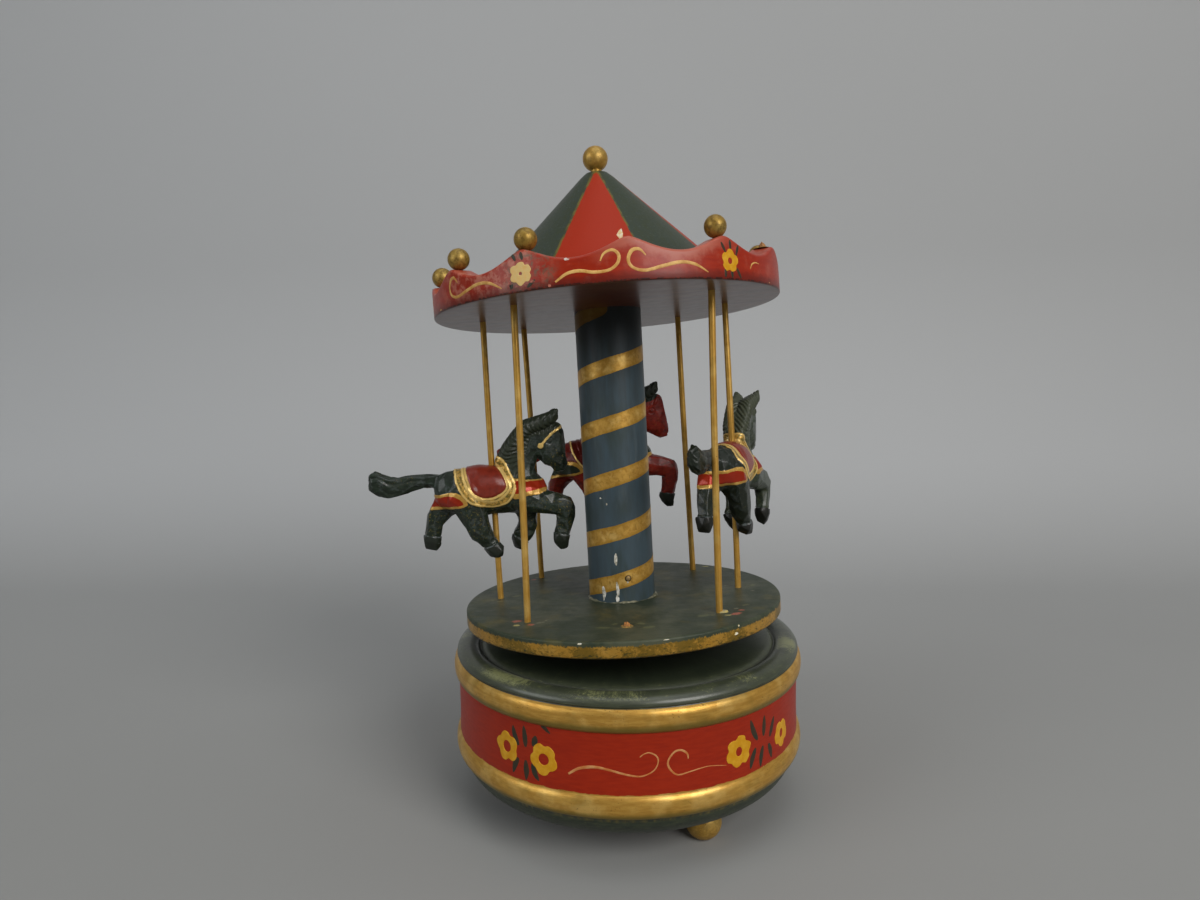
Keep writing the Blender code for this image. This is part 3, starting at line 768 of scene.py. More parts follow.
# its places round the feet of the rods: x, y, width, length and turn
smears = {
    "cream": ((3.2, -49.0, 5.6, 4.6, 0), (-40.3, -42.3, 4.8, 4.2, 0), (42.4, -38.6, 4.4, 3.2, 20),
              (40.0, 50.3, 6.0, 3.4, -20), (0.6, -51.2, 2.4, 2.0, 0), (36.6, -37.4, 2.6, 2.4, 10)),
    "pink": ((-41.0, -36.6, 7.0, 5.0, 15), (-34.6, -42.0, 5.0, 4.4, -10), (45.8, -37.0, 7.4, 5.0, 35),
             (48.4, -32.0, 4.4, 4.4, 60), (-44.6, 36.0, 4.8, 4.0, 40)),
    # the first dark smear, just behind the broken dowel, is a painted shadow
    "dark": ((3.0, -45.6, 2.6, 2.8, 0), (3.3, -50.6, 3.4, 1.6, 10)),
    "glue": ((-53.6, -3.6, 5.4, 3.0, 10), (-57.8, -1.2, 2.6, 2.4, 0), (46.8, -29.4, 4.6, 2.4, 30),
             (56.8, -1.8, 4.6, 2.6, 10), (46.4, 9.0, 5.0, 2.6, -30), (-31.2, -39.6, 6.8, 2.8, 20),
             (-29.0, -36.4, 5.0, 2.0, 25), (-43.4, 40.5, 4.6, 2.6, -50)),
    "dust": ((-6.0, -49.6, 10.0, 4.0, -8), (11.8, -51.0, 9.0, 4.4, 12), (-1.6, -45.4, 6.0, 3.4, 40),
             (8.6, -45.8, 6.4, 3.8, -35), (33.0, -38.0, 9.5, 4.8, 20), (-48.0, 4.4, 7.0, 4.2, 30),
             (-38.6, 34.6, 8.0, 4.2, -45), (51.0, -24.6, 7.0, 3.2, 40), (58.0, 8.0, 8.0, 3.4, 70)),
}


def smearField(place, spots):
    # 1 in the middle of a smear, 0 at its outline and less outside it
    most = -1.0
    for x, y, wide, tall, turn in spots:
        cos, sin = math.cos(math.radians(turn)), math.sin(math.radians(turn))
        along, across = (place.x - x) * cos + (place.y - y) * sin, (place.y - y) * cos - (place.x - x) * sin
        most = max(most, 1 - math.hypot(2 * along / wide, 2 * across / tall))
    return most


def tablePaint():
    f = Finish("table_paint")
    place = f.place()
    z = f.parts(place)[2]
    strokes = f.noise(f.scaled(place, (0.09, 1.2, 1)), 1.0, 6, 0.6, 0.6)
    tone = f.shades(f.rise(strokes, 0.3, 0.7), "tableShade", "tableGreen")
    rubbed = f.rise(f.noise(place, 0.045, 5, 0.65), 0.46, 0.66)
    tone = f.over(tone, "tableWorn", rubbed, 0.6)
    brown = f.rise(f.noise(f.scaled(place, (1, 1, 1), (31, 12, 0)), 0.07, 4, 0.6), 0.54, 0.68)
    tone = f.over(tone, "olive", brown, 0.3)
    specks = f.rise(f.noise(place, 1.5, 3), 0.7, 0.76)
    tone = f.over(tone, "tableWorn", specks, 0.5)
    streaks, radius, _ = f.polar(place, 12, 0.9)
    gold, goldRough = goldMix(f, streaks, place)
    for kind, (main, other, most) in smearPaints.items():
        ragged = f.wobble(0.9, place, 0.7, 5, 0.7)
        spilt = f.rise(f.plus(f.field(kind), ragged), 0.25, 0.6)
        tone = f.mix(f.times(spilt, most), tone, f.shades(f.noise(place, 0.5, 3), main, other))
    # the gilded edge is worn through to the green, most along its ragged upper side
    ragged = f.wobble(3.6, f.scaled(place, (0.6, 0.6, 0.25)), 1.0, 6, 0.7)
    low = table["top"] - table["thickness"]
    edge = f.times(f.rise(radius, table["radius"] - 0.75, table["radius"] - 0.55),
                   f.within(f.plus(z, ragged), low + 0.2, table["top"] - 1.8, 0.3))
    # green shows through in flecks that run with the brush, thickest near both rims
    away = f.calc("ABSOLUTE", f.less(z, (low + table["top"]) / 2))
    rubs = f.plus(f.noise(f.scaled(place, (0.45, 0.45, 1.4)), 1.0, 6, 0.75), f.times(away, 0.03))
    gold = f.over(gold, "edgeGold", 0.6)
    dull = f.rise(f.plus(f.noise(place, 0.06, 3), f.times(f.noise(place, 0.9, 5, 0.7), 0.5)), 0.7, 0.84)
    gold = f.over(gold, "edgeOlive", dull, 0.7)
    gold = f.over(gold, "edgeOlive", f.rise(rubs, 0.54, 0.64), 0.6)
    gold = f.over(gold, "tableShade", f.rise(rubs, 0.62, 0.68), 0.9)
    rimLine = f.rise(f.plus(f.times(z, -1), f.times(f.noise(place, 0.8, 4), 1.2)), -low - 0.4, -low + 0.4)
    gold = f.over(gold, "goldPit", rimLine, 0.7)
    tone = f.mix(edge, tone, gold)
    rough = f.blend(edge, f.blend(f.noise(place, 0.2, 5), 0.34, 0.6), goldRough)
    return f.done(tone, rough, f.times(edge, 0.4), f.plus(strokes, f.times(specks, 0.5)), 0.06)


def makeTable():
    top, radius, edge = table["top"], table["radius"], table["edge"]
    low = top - table["thickness"]
    profile = [(0, top)] + [(1.2 * step, top) for step in range(1, 56)]
    profile += arc((radius - edge, top - edge), edge, 90, 0, 5)
    profile += arc((radius - edge, low + edge), edge, 0, -90, 5)
    profile += [(40, low), (0, low)]
    mesh = makeMesh("painted_platform", turned(profile, table["steps"]), tableFrame, 30)
    platform = bpy.data.objects.new("uncut_platform", mesh)
    x, y, _ = around(*table["hole"])
    drill = turned([(0, top + 2), (table["holeRadius"] + 0.15, top + 2), (table["holeRadius"] + 0.15, top),
                    (table["holeRadius"], top - 0.4), (table["holeRadius"], top - table["holeDepth"]),
                    (0, top - table["holeDepth"])], 32)
    bit = bpy.data.objects.new("drill", makeMesh("drill", drill, tableFrame @ shifted(x, y), 30))
    for thing in (platform, bit):
        bpy.context.scene.collection.objects.link(thing)
    cut = platform.modifiers.new("hole", "BOOLEAN")
    cut.object = bit
    cut.solver = "EXACT"
    cutMesh = bpy.data.meshes.new_from_object(platform.evaluated_get(bpy.context.evaluated_depsgraph_get()))
    for thing in (platform, bit):
        bpy.data.objects.remove(thing)
    back = tableFrame.inverted()
    places = [back @ vertex.co / mm for vertex in cutMesh.vertices]
    for kind, spots in smears.items():
        values = [smearField(place, spots) if place.z > top - 1 else 0 for place in places]
        cutMesh.attributes.new(kind, "FLOAT", "POINT").data.foreach_set("value", values)
    dress("painted_platform", cutMesh, tableFrame, tablePaint(), "turntable", ["platform"])
    radius, high = table["spindle"], low + 0.05
    collar, height = table["collar"]
    spindle = [(0, high), (collar, high), (collar, high - height + 1), (collar - 1, high - height),
               (radius, high - height), (radius, -table["spindleDepth"] + 0.5),
               (radius - 0.5, -table["spindleDepth"]), (0, -table["spindleDepth"])]
    makePiece("turned_spindle", turned(spindle, 64), tableFrame, bareWood("spindle_wood", (1.2, 1.2, 0.12)),
              "turntable", ["spindle"])
    rng = random.Random(5)
    proud = top + table["stubProud"]
    stub = [(0, proud - 0.5), (0.5, proud - 0.1), (1.0, proud - 0.3), (1.3, proud - 0.9), (1.35, top),
            (1.35, top - 3.4), (0, top - 3.4)]
    points, faces = turned(stub, 18)
    points = [(px, py, pz + (rng.uniform(-0.5, 0.2) if pz > top + 0.1 else 0)) for px, py, pz in points]
    makePiece("broken_dowel", (points, faces), tableFrame @ shifted(x, y),
              bareWood("dowel_wood", (2.5, 2.5, 0.4), "freshWood"), "turntable",
              ["broken_rod_stub"])
    # the crumbs of glue in the gap round it
    ring = [(1.25, top - 0.2), (1.5, top + 0.32), (1.9, top + 0.2), (2.5, top - 0.02), (2.0, top - 0.3)]
    points, faces = turned(ring, 40)
    swell = [1 + 0.12 * math.sin(3 * k) for k in range(len(points))]
    points = [(px * share, py * share, pz) for share, (px, py, pz) in zip(swell, points)]
    makePiece("dowel_glue", (points, faces), tableFrame @ shifted(x, y),
              plainPaint("crumbled_glue", "goldShade", "tableWorn", 0.6, 1.2, 0.1), "turntable")


makeTable()

print("the chips and glue on the platform")

# chips on the gilded edge: angle, height, width and height of the chip
edgeChips = ((-11.4, 17.3, 2.2, 0.9), (-84.5, 16.6, 1.0, 1.6), (15.2, 17.5, 3.0, 0.4), (41.6, 17.3, 1.2, 0.8),
             (40.4, 14.6, 2.6, 1.2), (122.0, 17.0, 2.0, 1.0), (201.0, 13.6, 1.8, 1.0),
             (255.0, 17.3, 1.6, 0.8))


def onTable(x, y, lift):
    return x, y, table["top"] + lift


def makeChips():
    rng = random.Random(17)
    x, y, _ = around(*rods["rod_2"][0])
    bead = dab((x + 1.2, y + 0.1), raggedOutline(5.4, 3.6, rng, 0.2), onTable, 0.6)
    makePiece("clear_glue_bead", bead, tableFrame, plainPaint("clear_glue", "glue", "cream", 0.2, 0.5),
              "turntable")
    chips = [dab((0, height), raggedOutline(wide, tall, rng, 0.4), sideSurface(angle, table["radius"]), 0.05)
             for angle, height, wide, tall in edgeChips]
    makePiece("edge_chips", joined(chips), tableFrame,
              plainPaint("chipped_ground", "chalk", "cream", 0.7, 1.2, 0.1), "turntable")


makeChips()

print("the column, its gold band and its chips")

column = {"radius": 14.3, "foot": 18.0, "top": 143.0, "steps": 144}
# the gold band: its middle's height above the platform each time it passes the front
goldBand = {"turns": (-0.6, 0, 1, 2, 3, 4, 4.8, 5, 5.2),
            "heights": (-4.2, 9.4, 30.0, 53.1, 76.2, 100.2, 119.4, 124.6, 129.8), "end": 5.012, "width": 6.9,
            "stepsPerTurn": 150}
# chips through to the white ground, on the column: angle, height, width, height of the chip
columnChips = ((-5.6, 18.9, 1.6, 7.0), (-5.2, 6.0, 1.7, 8.4), (-6.6, 1.9, 1.9, 3.8), (-30.6, 4.3, 2.3, 8.2),
               (12.6, 9.0, 0.9, 2.0), (-27.6, 44.8, 1.0, 0.9), (-16.4, 42.3, 0.8, 1.2))
columnNail = (13.6, 10.3, 1.4)


def columnPaint():
    f = Finish("column_paint")
    place = f.place()
    z = f.parts(place)[2]
    streaks = f.scaled(place, (0.5, 0.5, 0.07))
    cloud = f.noise(streaks, 1.0, 6, 0.6)
    tone = f.shades(f.rise(cloud, 0.3, 0.7), "slate", "slateBlue")
    tone = f.over(tone, "slateBlue", f.rise(z, 120, 30), 0.5)
    rubbed = f.rise(f.noise(f.scaled(place, (0.25, 0.25, 0.05)), 1.0, 5), 0.55, 0.75)
    tone = f.over(tone, "slatePale", rubbed, 0.35)
    specks = f.rise(f.noise(place, 1.4, 3), 0.71, 0.76)
    tone = f.over(tone, "slatePale", specks, 0.5)
    teal = f.rise(f.noise(f.scaled(place, (1, 1, 0.4), (5, 2, 0)), 0.09, 3), 0.45, 0.7)
    tone = f.over(tone, "roofGreen", teal, 0.6)
    # darker towards the top, under the canopy: painted shade
    tone = f.over(tone, "soot", f.rise(z, 108, 138), 0.75)
    return f.done(tone, f.blend(cloud, 0.35, 0.55), height=brushHeight(f, streaks, place), depth=0.05)


def foilPaint():
    # thick gold, crumpled and patchy; its pale patches are painted glints and its dark creases painted shade
    f = Finish("band_gold", Metallic=0.45)
    place = f.place()
    patches = f.noise(place, 0.42, 5, 0.65, 0.8)
    tone = f.shades(f.rise(patches, 0.35, 0.6), "goldShade", "gold")
    pale = f.rise(f.noise(f.scaled(place, (1, 1, 1), (7, 3, 1)), 0.24, 4), 0.5, 0.7)
    tone = f.over(tone, "goldPale", pale, 0.6)
    # browner towards both edges, and dark in the canopy's shade
    edges = f.plus(f.field("across"), f.wobble(0.5, place, 0.6, 4))
    tone = f.over(tone, "edgeGold", f.rise(edges, 0.45, 1.0), 0.65)
    creaseShade = f.rise(f.noise(f.scaled(place, (1, 1, 0.35), (2, 9, 4)), 0.8, 4), 0.64, 0.7)
    tone = f.over(tone, "goldPit", creaseShade, 0.4)
    tone = f.over(tone, "goldPit", f.rise(f.parts(place)[2], 116, 136), 0.85)
    return f.done(tone, f.blend(patches, 0.3, 0.45), height=f.noise(place, 0.6, 3), depth=0.08)


def onColumn(across, up, lift):
    return around(math.degrees(across / column["radius"]), column["radius"] + lift, column["foot"] + up)


def makeColumn():
    radius, top, foot = column["radius"], column["top"], column["foot"]
    shaft = [(0, top)] + [(radius, top - (top - foot + 0.2) * i / 30) for i in range(31)] + [(0, foot - 0.2)]
    makePiece("painted_column", turned(shaft, column["steps"]), tableFrame, columnPaint(), "turntable",
              ["column"])
    rng = random.Random(3)
    turns = np.arange(goldBand["turns"][0], goldBand["end"], 1 / goldBand["stepsPerTurn"])
    heights = np.interp(turns, goldBand["turns"], goldBand["heights"])
    rough = np.convolve([rng.uniform(-1, 1) for _ in range(len(turns) + 8)], np.ones(9) / 9, "valid")
    rows = (-1, -0.97, -0.6, -0.2, 0.2, 0.6, 0.97, 1)
    loops = []
    for turn, height, wave in zip(turns, heights, rough):
        left = (goldBand["end"] - turn) * math.tau * radius
        half = goldBand["width"] / 2 + wave * 0.35
        half *= math.sqrt(1 - max(0, 1 - left / 3.0) ** 2)      # the band's end is rounded
        loop = []
        for row in rows:
            lift = -0.06 if abs(row) == 1 else 0.07 + rng.uniform(-0.015, 0.015)
            loop.append(onColumn(turn * math.tau * radius, min(height + row * half, top - foot), lift))
        loops.append(loop + [onColumn(turn * math.tau * radius, min(height, top - foot), -0.1)])
    mesh = makeMesh("column_gold_band", loft(loops), tableFrame)
    across = [abs(row) for row in (*rows, 0)] * len(loops)
    mesh.attributes.new("across", "FLOAT", "POINT").data.foreach_set("value", across)
    dress("column_gold_band", mesh, tableFrame, foilPaint(), "turntable")
    chips = []
    for angle, height, wide, tall in columnChips:
        outline = raggedOutline(wide, tall, rng, 0.35, corners=7)
        chips.append(dab((math.radians(angle) * radius, height), outline, onColumn, 0.13))
    makePiece("column_chips", joined(chips), tableFrame,
              plainPaint("white_ground", "chalk", "glue", 0.7, 0.8, 0.1), "turntable")
    angle, height, size = columnNail
    head = [(0, 0.3), (size * 0.6, 0.25), (size, 0.05), (size, -0.3), (0, -0.3)]
    spot = Vector(onColumn(math.radians(angle) * radius, height, 0.05))
    facing = Vector((spot.x, spot.y, 0)).to_track_quat("Z", "Y").to_matrix().to_4x4()
    face = Matrix.Translation(spot * mm) @ facing
    f = Finish("old_nail", Metallic=0.7)
    rust = f.noise(f.place(), 2.0, 4)
    iron = f.mix(f.rise(f.parts(f.place())[2], 0.1, 0.28), paint("soot"), f.shades(rust, "slatePale", "gold"))
    iron = f.done(iron, f.blend(rust, 0.35, 0.6))
    makePiece("column_nail", turned(head, 20), tableFrame @ face, iron, "turntable")
    # the broken ring of old glue round the column's foot
    points, faces = turned(arc((radius + 0.1, foot), 0.8, 100, -10, 6, squash=1.3)
                           + [(radius - 0.5, foot - 0.4)], 160)
    lumpy = []
    for px, py, pz in points:
        turn = math.atan2(px, -py)
        lump = 0.35 + 0.35 * math.sin(5 * turn + 1) + 0.35 * math.sin(13 * turn) * math.cos(7 * turn)
        lump += 0.35 * abs(math.sin(turn)) ** 3
        out = max(0.0, math.hypot(px, py) - radius)
        share = (radius + out * max(lump, 0.05)) / max(math.hypot(px, py), 1) if out else 1
        lumpy.append((px * share, py * share, foot + (pz - foot) * max(lump, 0.05)))
    makePiece("column_glue", (lumpy, faces), tableFrame,
              plainPaint("old_glue", "tableWorn", "glue", 0.4, 0.6, 0.12), "turntable")


makeColumn()

print("the rods")


def rodEnds(name):
    # where a rod's middle line meets the platform's top and the canopy's underside
    (angle, radius), (outX, outY), _ = rods[name]
    foot = Vector(around(angle, radius, table["top"]))
    top = foot + Vector((outX, outY, rods["length"]))
    toCanopy = canopyInTable.inverted()
    low, high = (toCanopy @ (point * mm) for point in (foot, top))
    return foot, foot.lerp(top, low.z / (low.z - high.z)), top


def makeRods():
    gold = goldPaint("rod_gold", (1.3, 1.3, 0.12))
    turns = [math.tau * k / 20 for k in range(20)]
    for name in rodNames:
        foot, meet, _ = rodEnds(name)
        run = (meet - foot).normalized()
        start, end = foot - run * rods["seat"], meet + run * rods["seat"]
        aside = run.cross(Vector((0, 1, 0))).normalized()
        over = run.cross(aside)
        bow, loops, steps = rods[name][2], [], 60
        for i in range(steps + 1):
            share = i / steps
            middle = start.lerp(end, share) + aside * bow * math.sin(math.pi * share)
            size = rods["radius"] * (1 + 0.025 * math.sin(9 * share + bow * 40))
            loops.append([middle + (aside * math.cos(turn) + over * math.sin(turn)) * size for turn in turns])
        makePiece("gold_" + name, loft(loops), tableFrame, gold, "turntable", [name])


makeRods()

print("the canopy")

canopy = {"radius": 73.0, "inner": 63.8, "floor": 5.0, "valley": 9.9, "peak": 15.2, "slant": 1.1, "peaks": 12,
          "firstPeak": 9.5, "blunt": 0.18, "steps": 576, "roofApex": 63.7, "roofTop": 58.6,
          "wedges": 8, "redTurn": 1.4, "redHalf": 21.0, "redShort": 1.3, "redDrift": 13.5,
          "finial": (5.4, 65.0, 2.2), "ball": 4.2, "ballCircle": 68.5, "barePeaks": (0, 2), "stubPeak": 2}


def crestHeight(angle):
    # the scalloped rim's height at an angle from the front
    share = (angle - canopy["firstPeak"]) * canopy["peaks"] / 360
    swing = math.sin(abs(share - round(share)) * math.pi)
    blunt = canopy["blunt"]
    fall = (math.hypot(swing, blunt) - blunt) / (math.hypot(1, blunt) - blunt)
    slant = canopy["slant"] * math.sin(math.radians(angle))     # the rim is higher on the right
    return canopy["peak"] + slant - (canopy["peak"] - canopy["valley"]) * fall


def canopyProfile(angle):
    crest, outer, inner, floor = crestHeight(angle), canopy["radius"], canopy["inner"], canopy["floor"]
    profile = [(0, floor), (30, floor), (inner - 0.6, floor), (inner - 0.1, floor + 0.5)]
    profile += [(inner, floor + (crest - 1.2 - floor) * share) for share in (0.4, 0.75)]
    profile += arc((inner + 1.1, crest - 1.1), 1.1, 180, 90, 4)
    profile += [(inner + 3.5, crest), (outer - 3.0, crest)]
    profile += arc((outer - 1.3, crest - 1.3), 1.3, 90, 0, 6)
    profile += [(outer, crest - (crest - 1.3) * share) for share in (0.3, 0.5, 0.7, 0.86)]
    profile += arc((outer - 0.5, 0.5), 0.5, 0, -90, 4)
    return profile + [(outer - 3, 0), (50, 0), (25, 0), (0, 0)]


def canopyPaint():
    f = Finish("canopy_paint", **{"Coat Roughness": 0.2})
    place = f.place()
    x, y, z = f.parts(place)
    streaks, _, _ = f.polar(place, 11, 0.8)
    red, redRough = redMix(f, streaks, place, "rimRed")
    # the rim is painted pinkish in clouds, most along its crest and on the right of the front: partly rubbed
    # paint and partly painted sheen, the patch on the right a painted reflection; it is darker towards its
    # lower edge, which has dark nicks
    crest = f.plus(f.field("crest"), f.times(f.noise(place, 0.35, 4, 0.7), 3.2))
    clouds = f.noise(place, 0.16, 5, 0.65)
    rubs = f.most(f.times(f.rise(clouds, 0.5, 0.7), 0.25), f.times(f.rise(crest, 0.6, 2.4), 0.5))
    right = f.times(f.within(x, 4, 46, 9), f.rise(y, 0, -30))
    right = f.times(right, f.rise(f.plus(crest, f.times(clouds, 9)), 0.5, 4.5))
    left = f.times(f.within(x, -58, -18, 8), f.rise(y, 0, -30))
    left = f.times(left, f.rise(f.noise(place, 0.22, 5, 0.7), 0.44, 0.6))
    rubs = f.most(rubs, f.most(f.times(left, 0.85), f.times(right, 0.6)))
    red = f.over(red, "pink", rubs)
    grey = f.times(f.rise(f.noise(place, 0.4, 5, 0.75), 0.47, 0.6), f.within(x, -32, -14, 3))
    red = f.over(red, "tableWorn", f.times(grey, f.rise(y, 0, -30)), 0.65)
    lower = f.plus(f.times(z, -1), f.times(f.noise(place, 0.3, 4), 3))
    red = f.over(red, "varnish", f.rise(lower, -3.4, 0.6), 0.65)
    nicks = f.times(f.within(z, -1, 0.75, 0.3), f.rise(f.noise(place, 0.5, 4, 0.7), 0.42, 0.55))
    red = f.over(red, "soot", nicks, 0.85)
    below = f.rise(f.times(z, -1), -0.35, -0.1)
    grain = f.noise(f.scaled(place, (0.02, 0.16, 1)), 1.0, 4, 0.5, 0.3)
    varnish = f.shades(f.times(f.rise(grain, 0.3, 0.7), 0.3), "varnish", "woodShade")
    blotches = f.rise(f.noise(place, 0.13, 5, 0.7), 0.45, 0.7)
    varnish = f.over(varnish, "tableWorn", blotches, 0.25)
    specks = f.rise(f.noise(place, 0.8, 4), 0.66, 0.72)
    varnish = f.over(varnish, "soot", specks, 0.5)
    tone = f.mix(below, red, varnish)
    rough = f.blend(below, redRough, f.blend(f.noise(place, 0.2, 4), 0.28, 0.4))
    f.feed(f.shader.inputs["Coat Weight"], f.blend(below, 0.12, 0.2))
    relief = f.blend(below, brushHeight(f, streaks, place), f.times(grain, 0.5))
    return f.done(tone, rough, height=relief, depth=0.03)


def roofPaint():
    f = Finish("roof_paint", **{"Specular IOR Level": 0.15})
    place = f.place()
    x, y, _ = f.parts(place)
    _, radius, _ = f.polar(place, 1, 1)
    turn = f.calc("ARCTAN2", x, f.times(y, -1))
    pace = canopy["wedges"] / 2
    # the wedges at both sides stand a little too far left
    side = f.calc("SINE", turn)
    drift = f.times(f.times(side, side), math.radians(canopy["redDrift"]))
    turn = f.less(f.plus(turn, drift), math.radians(canopy["redTurn"]))
    wave = f.calc("COSINE", f.times(turn, pace))
    half = math.radians(canopy["redHalf"]) * pace
    edge = f.times(f.less(wave, math.cos(half)), 1 / (pace * math.sin(half)))
    edge = f.less(f.times(edge, radius), canopy["redShort"])
    edge = f.plus(edge, f.wobble(0.9, place, 0.3, 4))
    streaks = f.scaled(place, (0.5, 0.5, 0.12))
    red, redRough = redMix(f, streaks, place, "roofRed", "red")
    green, greenRough = greenMix(f, streaks, place, "roofGreen", "green", "slatePale")
    onRed = f.rise(edge, -0.12, 0.12)
    tone = f.mix(onRed, green, red)
    bleed = f.times(f.within(edge, -0.75, 0.15, 0.3), f.rise(f.noise(place, 0.22, 3), 0.35, 0.6))
    tone = f.over(tone, "olive", bleed, 0.8)
    rough = f.blend(onRed, greenRough, redRough)
    return f.done(tone, rough, height=brushHeight(f, streaks, place), depth=0.025)


# Rim motifs: millimetres across from the peak's middle and up from the canopy's underside
rimFlowers = {
    "worn": {"middle": (-0.6, 6.4), "size": (9.0, 8.4), "dot": (0.6, 0.55), "lobes": 6,
             "leaves": (((-3.4, 13.4), (-2.2, 11.0)), ((0.0, 13.8), (0.5, 11.0)), ((1.6, 1.3), (4.8, 3.6)),
                        ((-5.2, 1.6), (-4.0, 3.2)))},
    "bright": {"middle": (1.7, 6.8), "size": (8.6, 8.6), "dot": (1.0, 1.1), "lobes": 5,
               "leaves": (((-2.2, 13.2), (-0.2, 9.6)), ((2.2, 14.2), (2.3, 10.6)), ((6.6, 12.6), (5.0, 8.8)),
                          ((-0.6, 4.2), (-1.0, 0.9)), ((2.4, 3.4), (2.5, 0.8)), ((5.0, 4.4), (7.2, 0.8)))},
}
rimScrolls = {
    "left": (((-10.0, 7.4), (-8.6, 9.8), (-5.6, 10.8), (-3.6, 9.0), (-4.2, 6.2), (-7.3, 4.1), (-12.4, 3.8),
              (-17.4, 4.7), (-21.8, 4.2), (-26.0, 1.8)), (0.5, 0.9, 1.1, 1.3, 1.2, 1.1, 1.2, 1.3, 1.2, 0.8)),
    "right": (((5.8, 8.4), (3.6, 10.6), (0.9, 10.1), (-0.4, 7.0), (1.1, 4.4), (5.4, 3.3), (11.7, 4.6),
               (18.2, 5.8), (24.0, 5.1), (29.3, 2.4)), (0.4, 1.1, 1.5, 1.3, 1.1, 1.2, 1.3, 1.3, 1.2, 0.4)),
    "worn": (((-25.0, 4.6), (-23.8, 6.4), (-21.4, 7.3), (-18.4, 7.1)), (0.2, 0.7, 0.5, 0.2)),
}
# the scrolls on each even peak; those on either side of the front are half worn away
rimScrollLayout = ((9.5, "left"), (9.5, "right"), (69.5, "worn"), (129.5, "left"), (129.5, "right"),
                   (189.5, "left"), (189.5, "right"), (249.5, "left"), (249.5, "right"), (309.5, "right"))
# the flower on each odd peak, starting to the right of the front
rimFlowerLayout = ((39.5, "bright"), (99.5, "worn"), (159.5, "bright"), (219.5, "bright"), (279.5, "worn"),
                   (339.5, "worn"))
# chips and nicks on the rim: angle, height, width, height of the mark and its paint
rimChips = ((-7.4, 9.1, 2.4, 1.0, "chalk"), (-12.6, 0.9, 1.6, 1.2, "soot"), (-17.5, 3.0, 2.2, 1.6, "soot"),
            (-59.5, 1.0, 2.6, 0.9, "cream"), (62.0, 1.0, 1.2, 0.7, "cream"), (-24.5, 2.8, 1.2, 1.8, "soot"))


def makeCanopy():
    def turnedRim(steps):
        points, faces = [], []
        profiles = [canopyProfile(360 * i / steps) for i in range(steps)]
        size = len(profiles[0])
        top, bottom = 0, 1
        points += [(0, 0, profiles[0][0][1]), (0, 0, profiles[0][-1][1])]
        for i, profile in enumerate(profiles):
            points += [around(360 * i / steps, radius, height) for radius, height in profile[1:-1]]
        inner = size - 2
        for i in range(steps):
            here, there = 2 + i * inner, 2 + (i + 1) % steps * inner
            faces += [[here + k, here + k + 1, there + k + 1, there + k] for k in range(inner - 1)]
            faces += [[top, here, there], [here + inner - 1, bottom, there + inner - 1]]
        return points, faces

    shape = turnedRim(canopy["steps"])
    mesh = makeMesh("scalloped_canopy", shape, canopyFrame, 35)
    below = [z - crestHeight(math.degrees(math.atan2(x, -y))) for x, y, z in shape[0]]
    mesh.attributes.new("crest", "FLOAT", "POINT").data.foreach_set("value", below)
    dress("scalloped_canopy", mesh, canopyFrame, canopyPaint(), "turntable", ["canopy_disc"])
    foot, apex, top = canopy["floor"] + 0.05, canopy["roofApex"], canopy["roofTop"]
    roof = [(0, top), (apex - top - 0.7, top), (apex - top - 0.2, top - 0.15), (apex - top + 0.35, top - 0.6)]
    roof += [(apex - height, height) for height in np.linspace(top - 2, foot + 0.8, 24).tolist()]
    roof += [(apex - foot - 0.8, foot), (0, foot)]
    makePiece("striped_roof", turned(roof, 360), canopyFrame, roofPaint(), "turntable",
              ["canopy_roof"], 50)
    rng = random.Random(21)
    blooms, worn, leaves, scrolls = [], [], [], []
    for angle, kind in rimFlowerLayout:
        flower, onSurface = rimFlowers[kind], sideSurface(angle, canopy["radius"])
        outline = lobedOutline(*flower["size"], flower["lobes"], rng.uniform(0, 1), 0.2, rng)
        bloom = dab(flower["middle"], outline, onSurface, 0.1, hole=flower["dot"])
        (worn if kind == "worn" else blooms).append(bloom)
        for path in flower["leaves"]:
            leaves.append(brushStroke(path, (0.5, 1.5, 1.3, 0.5), onSurface, 0.04))
    for angle, kind in rimScrollLayout:
        path, widths = rimScrolls[kind]
        scrolls.append(brushStroke(path, widths, sideSurface(angle, canopy["radius"]), 0.08))
    makePiece("rim_flowers", joined(blooms), canopyFrame, bpy.data.materials["flower_yellow"], "turntable")
    makePiece("rim_worn_flowers", joined(worn), canopyFrame,
              plainPaint("flower_worn", "flowerWorn", "scroll", 0.5), "turntable")
    makePiece("rim_leaves", joined(leaves), canopyFrame, plainPaint("rim_leaf", "leaf", "leafWash", 0.4, 0.5),
              "turntable")
    makePiece("rim_scrolls", joined(scrolls), canopyFrame,
              plainPaint("scroll_gold", "ochre", "scroll", 0.38, 0.35), "turntable")
    for shade in ("chalk", "cream", "soot"):
        marks = [dab((0, height), raggedOutline(wide, tall, rng, 0.4),
                     sideSurface(angle, canopy["radius"]), 0.04)
                 for angle, height, wide, tall, own in rimChips if own == shade]
        makePiece(shade + "_rim_marks", joined(marks), canopyFrame,
                  plainPaint(shade + "_mark", shade, "pink", 0.6, 0.6), "turntable")


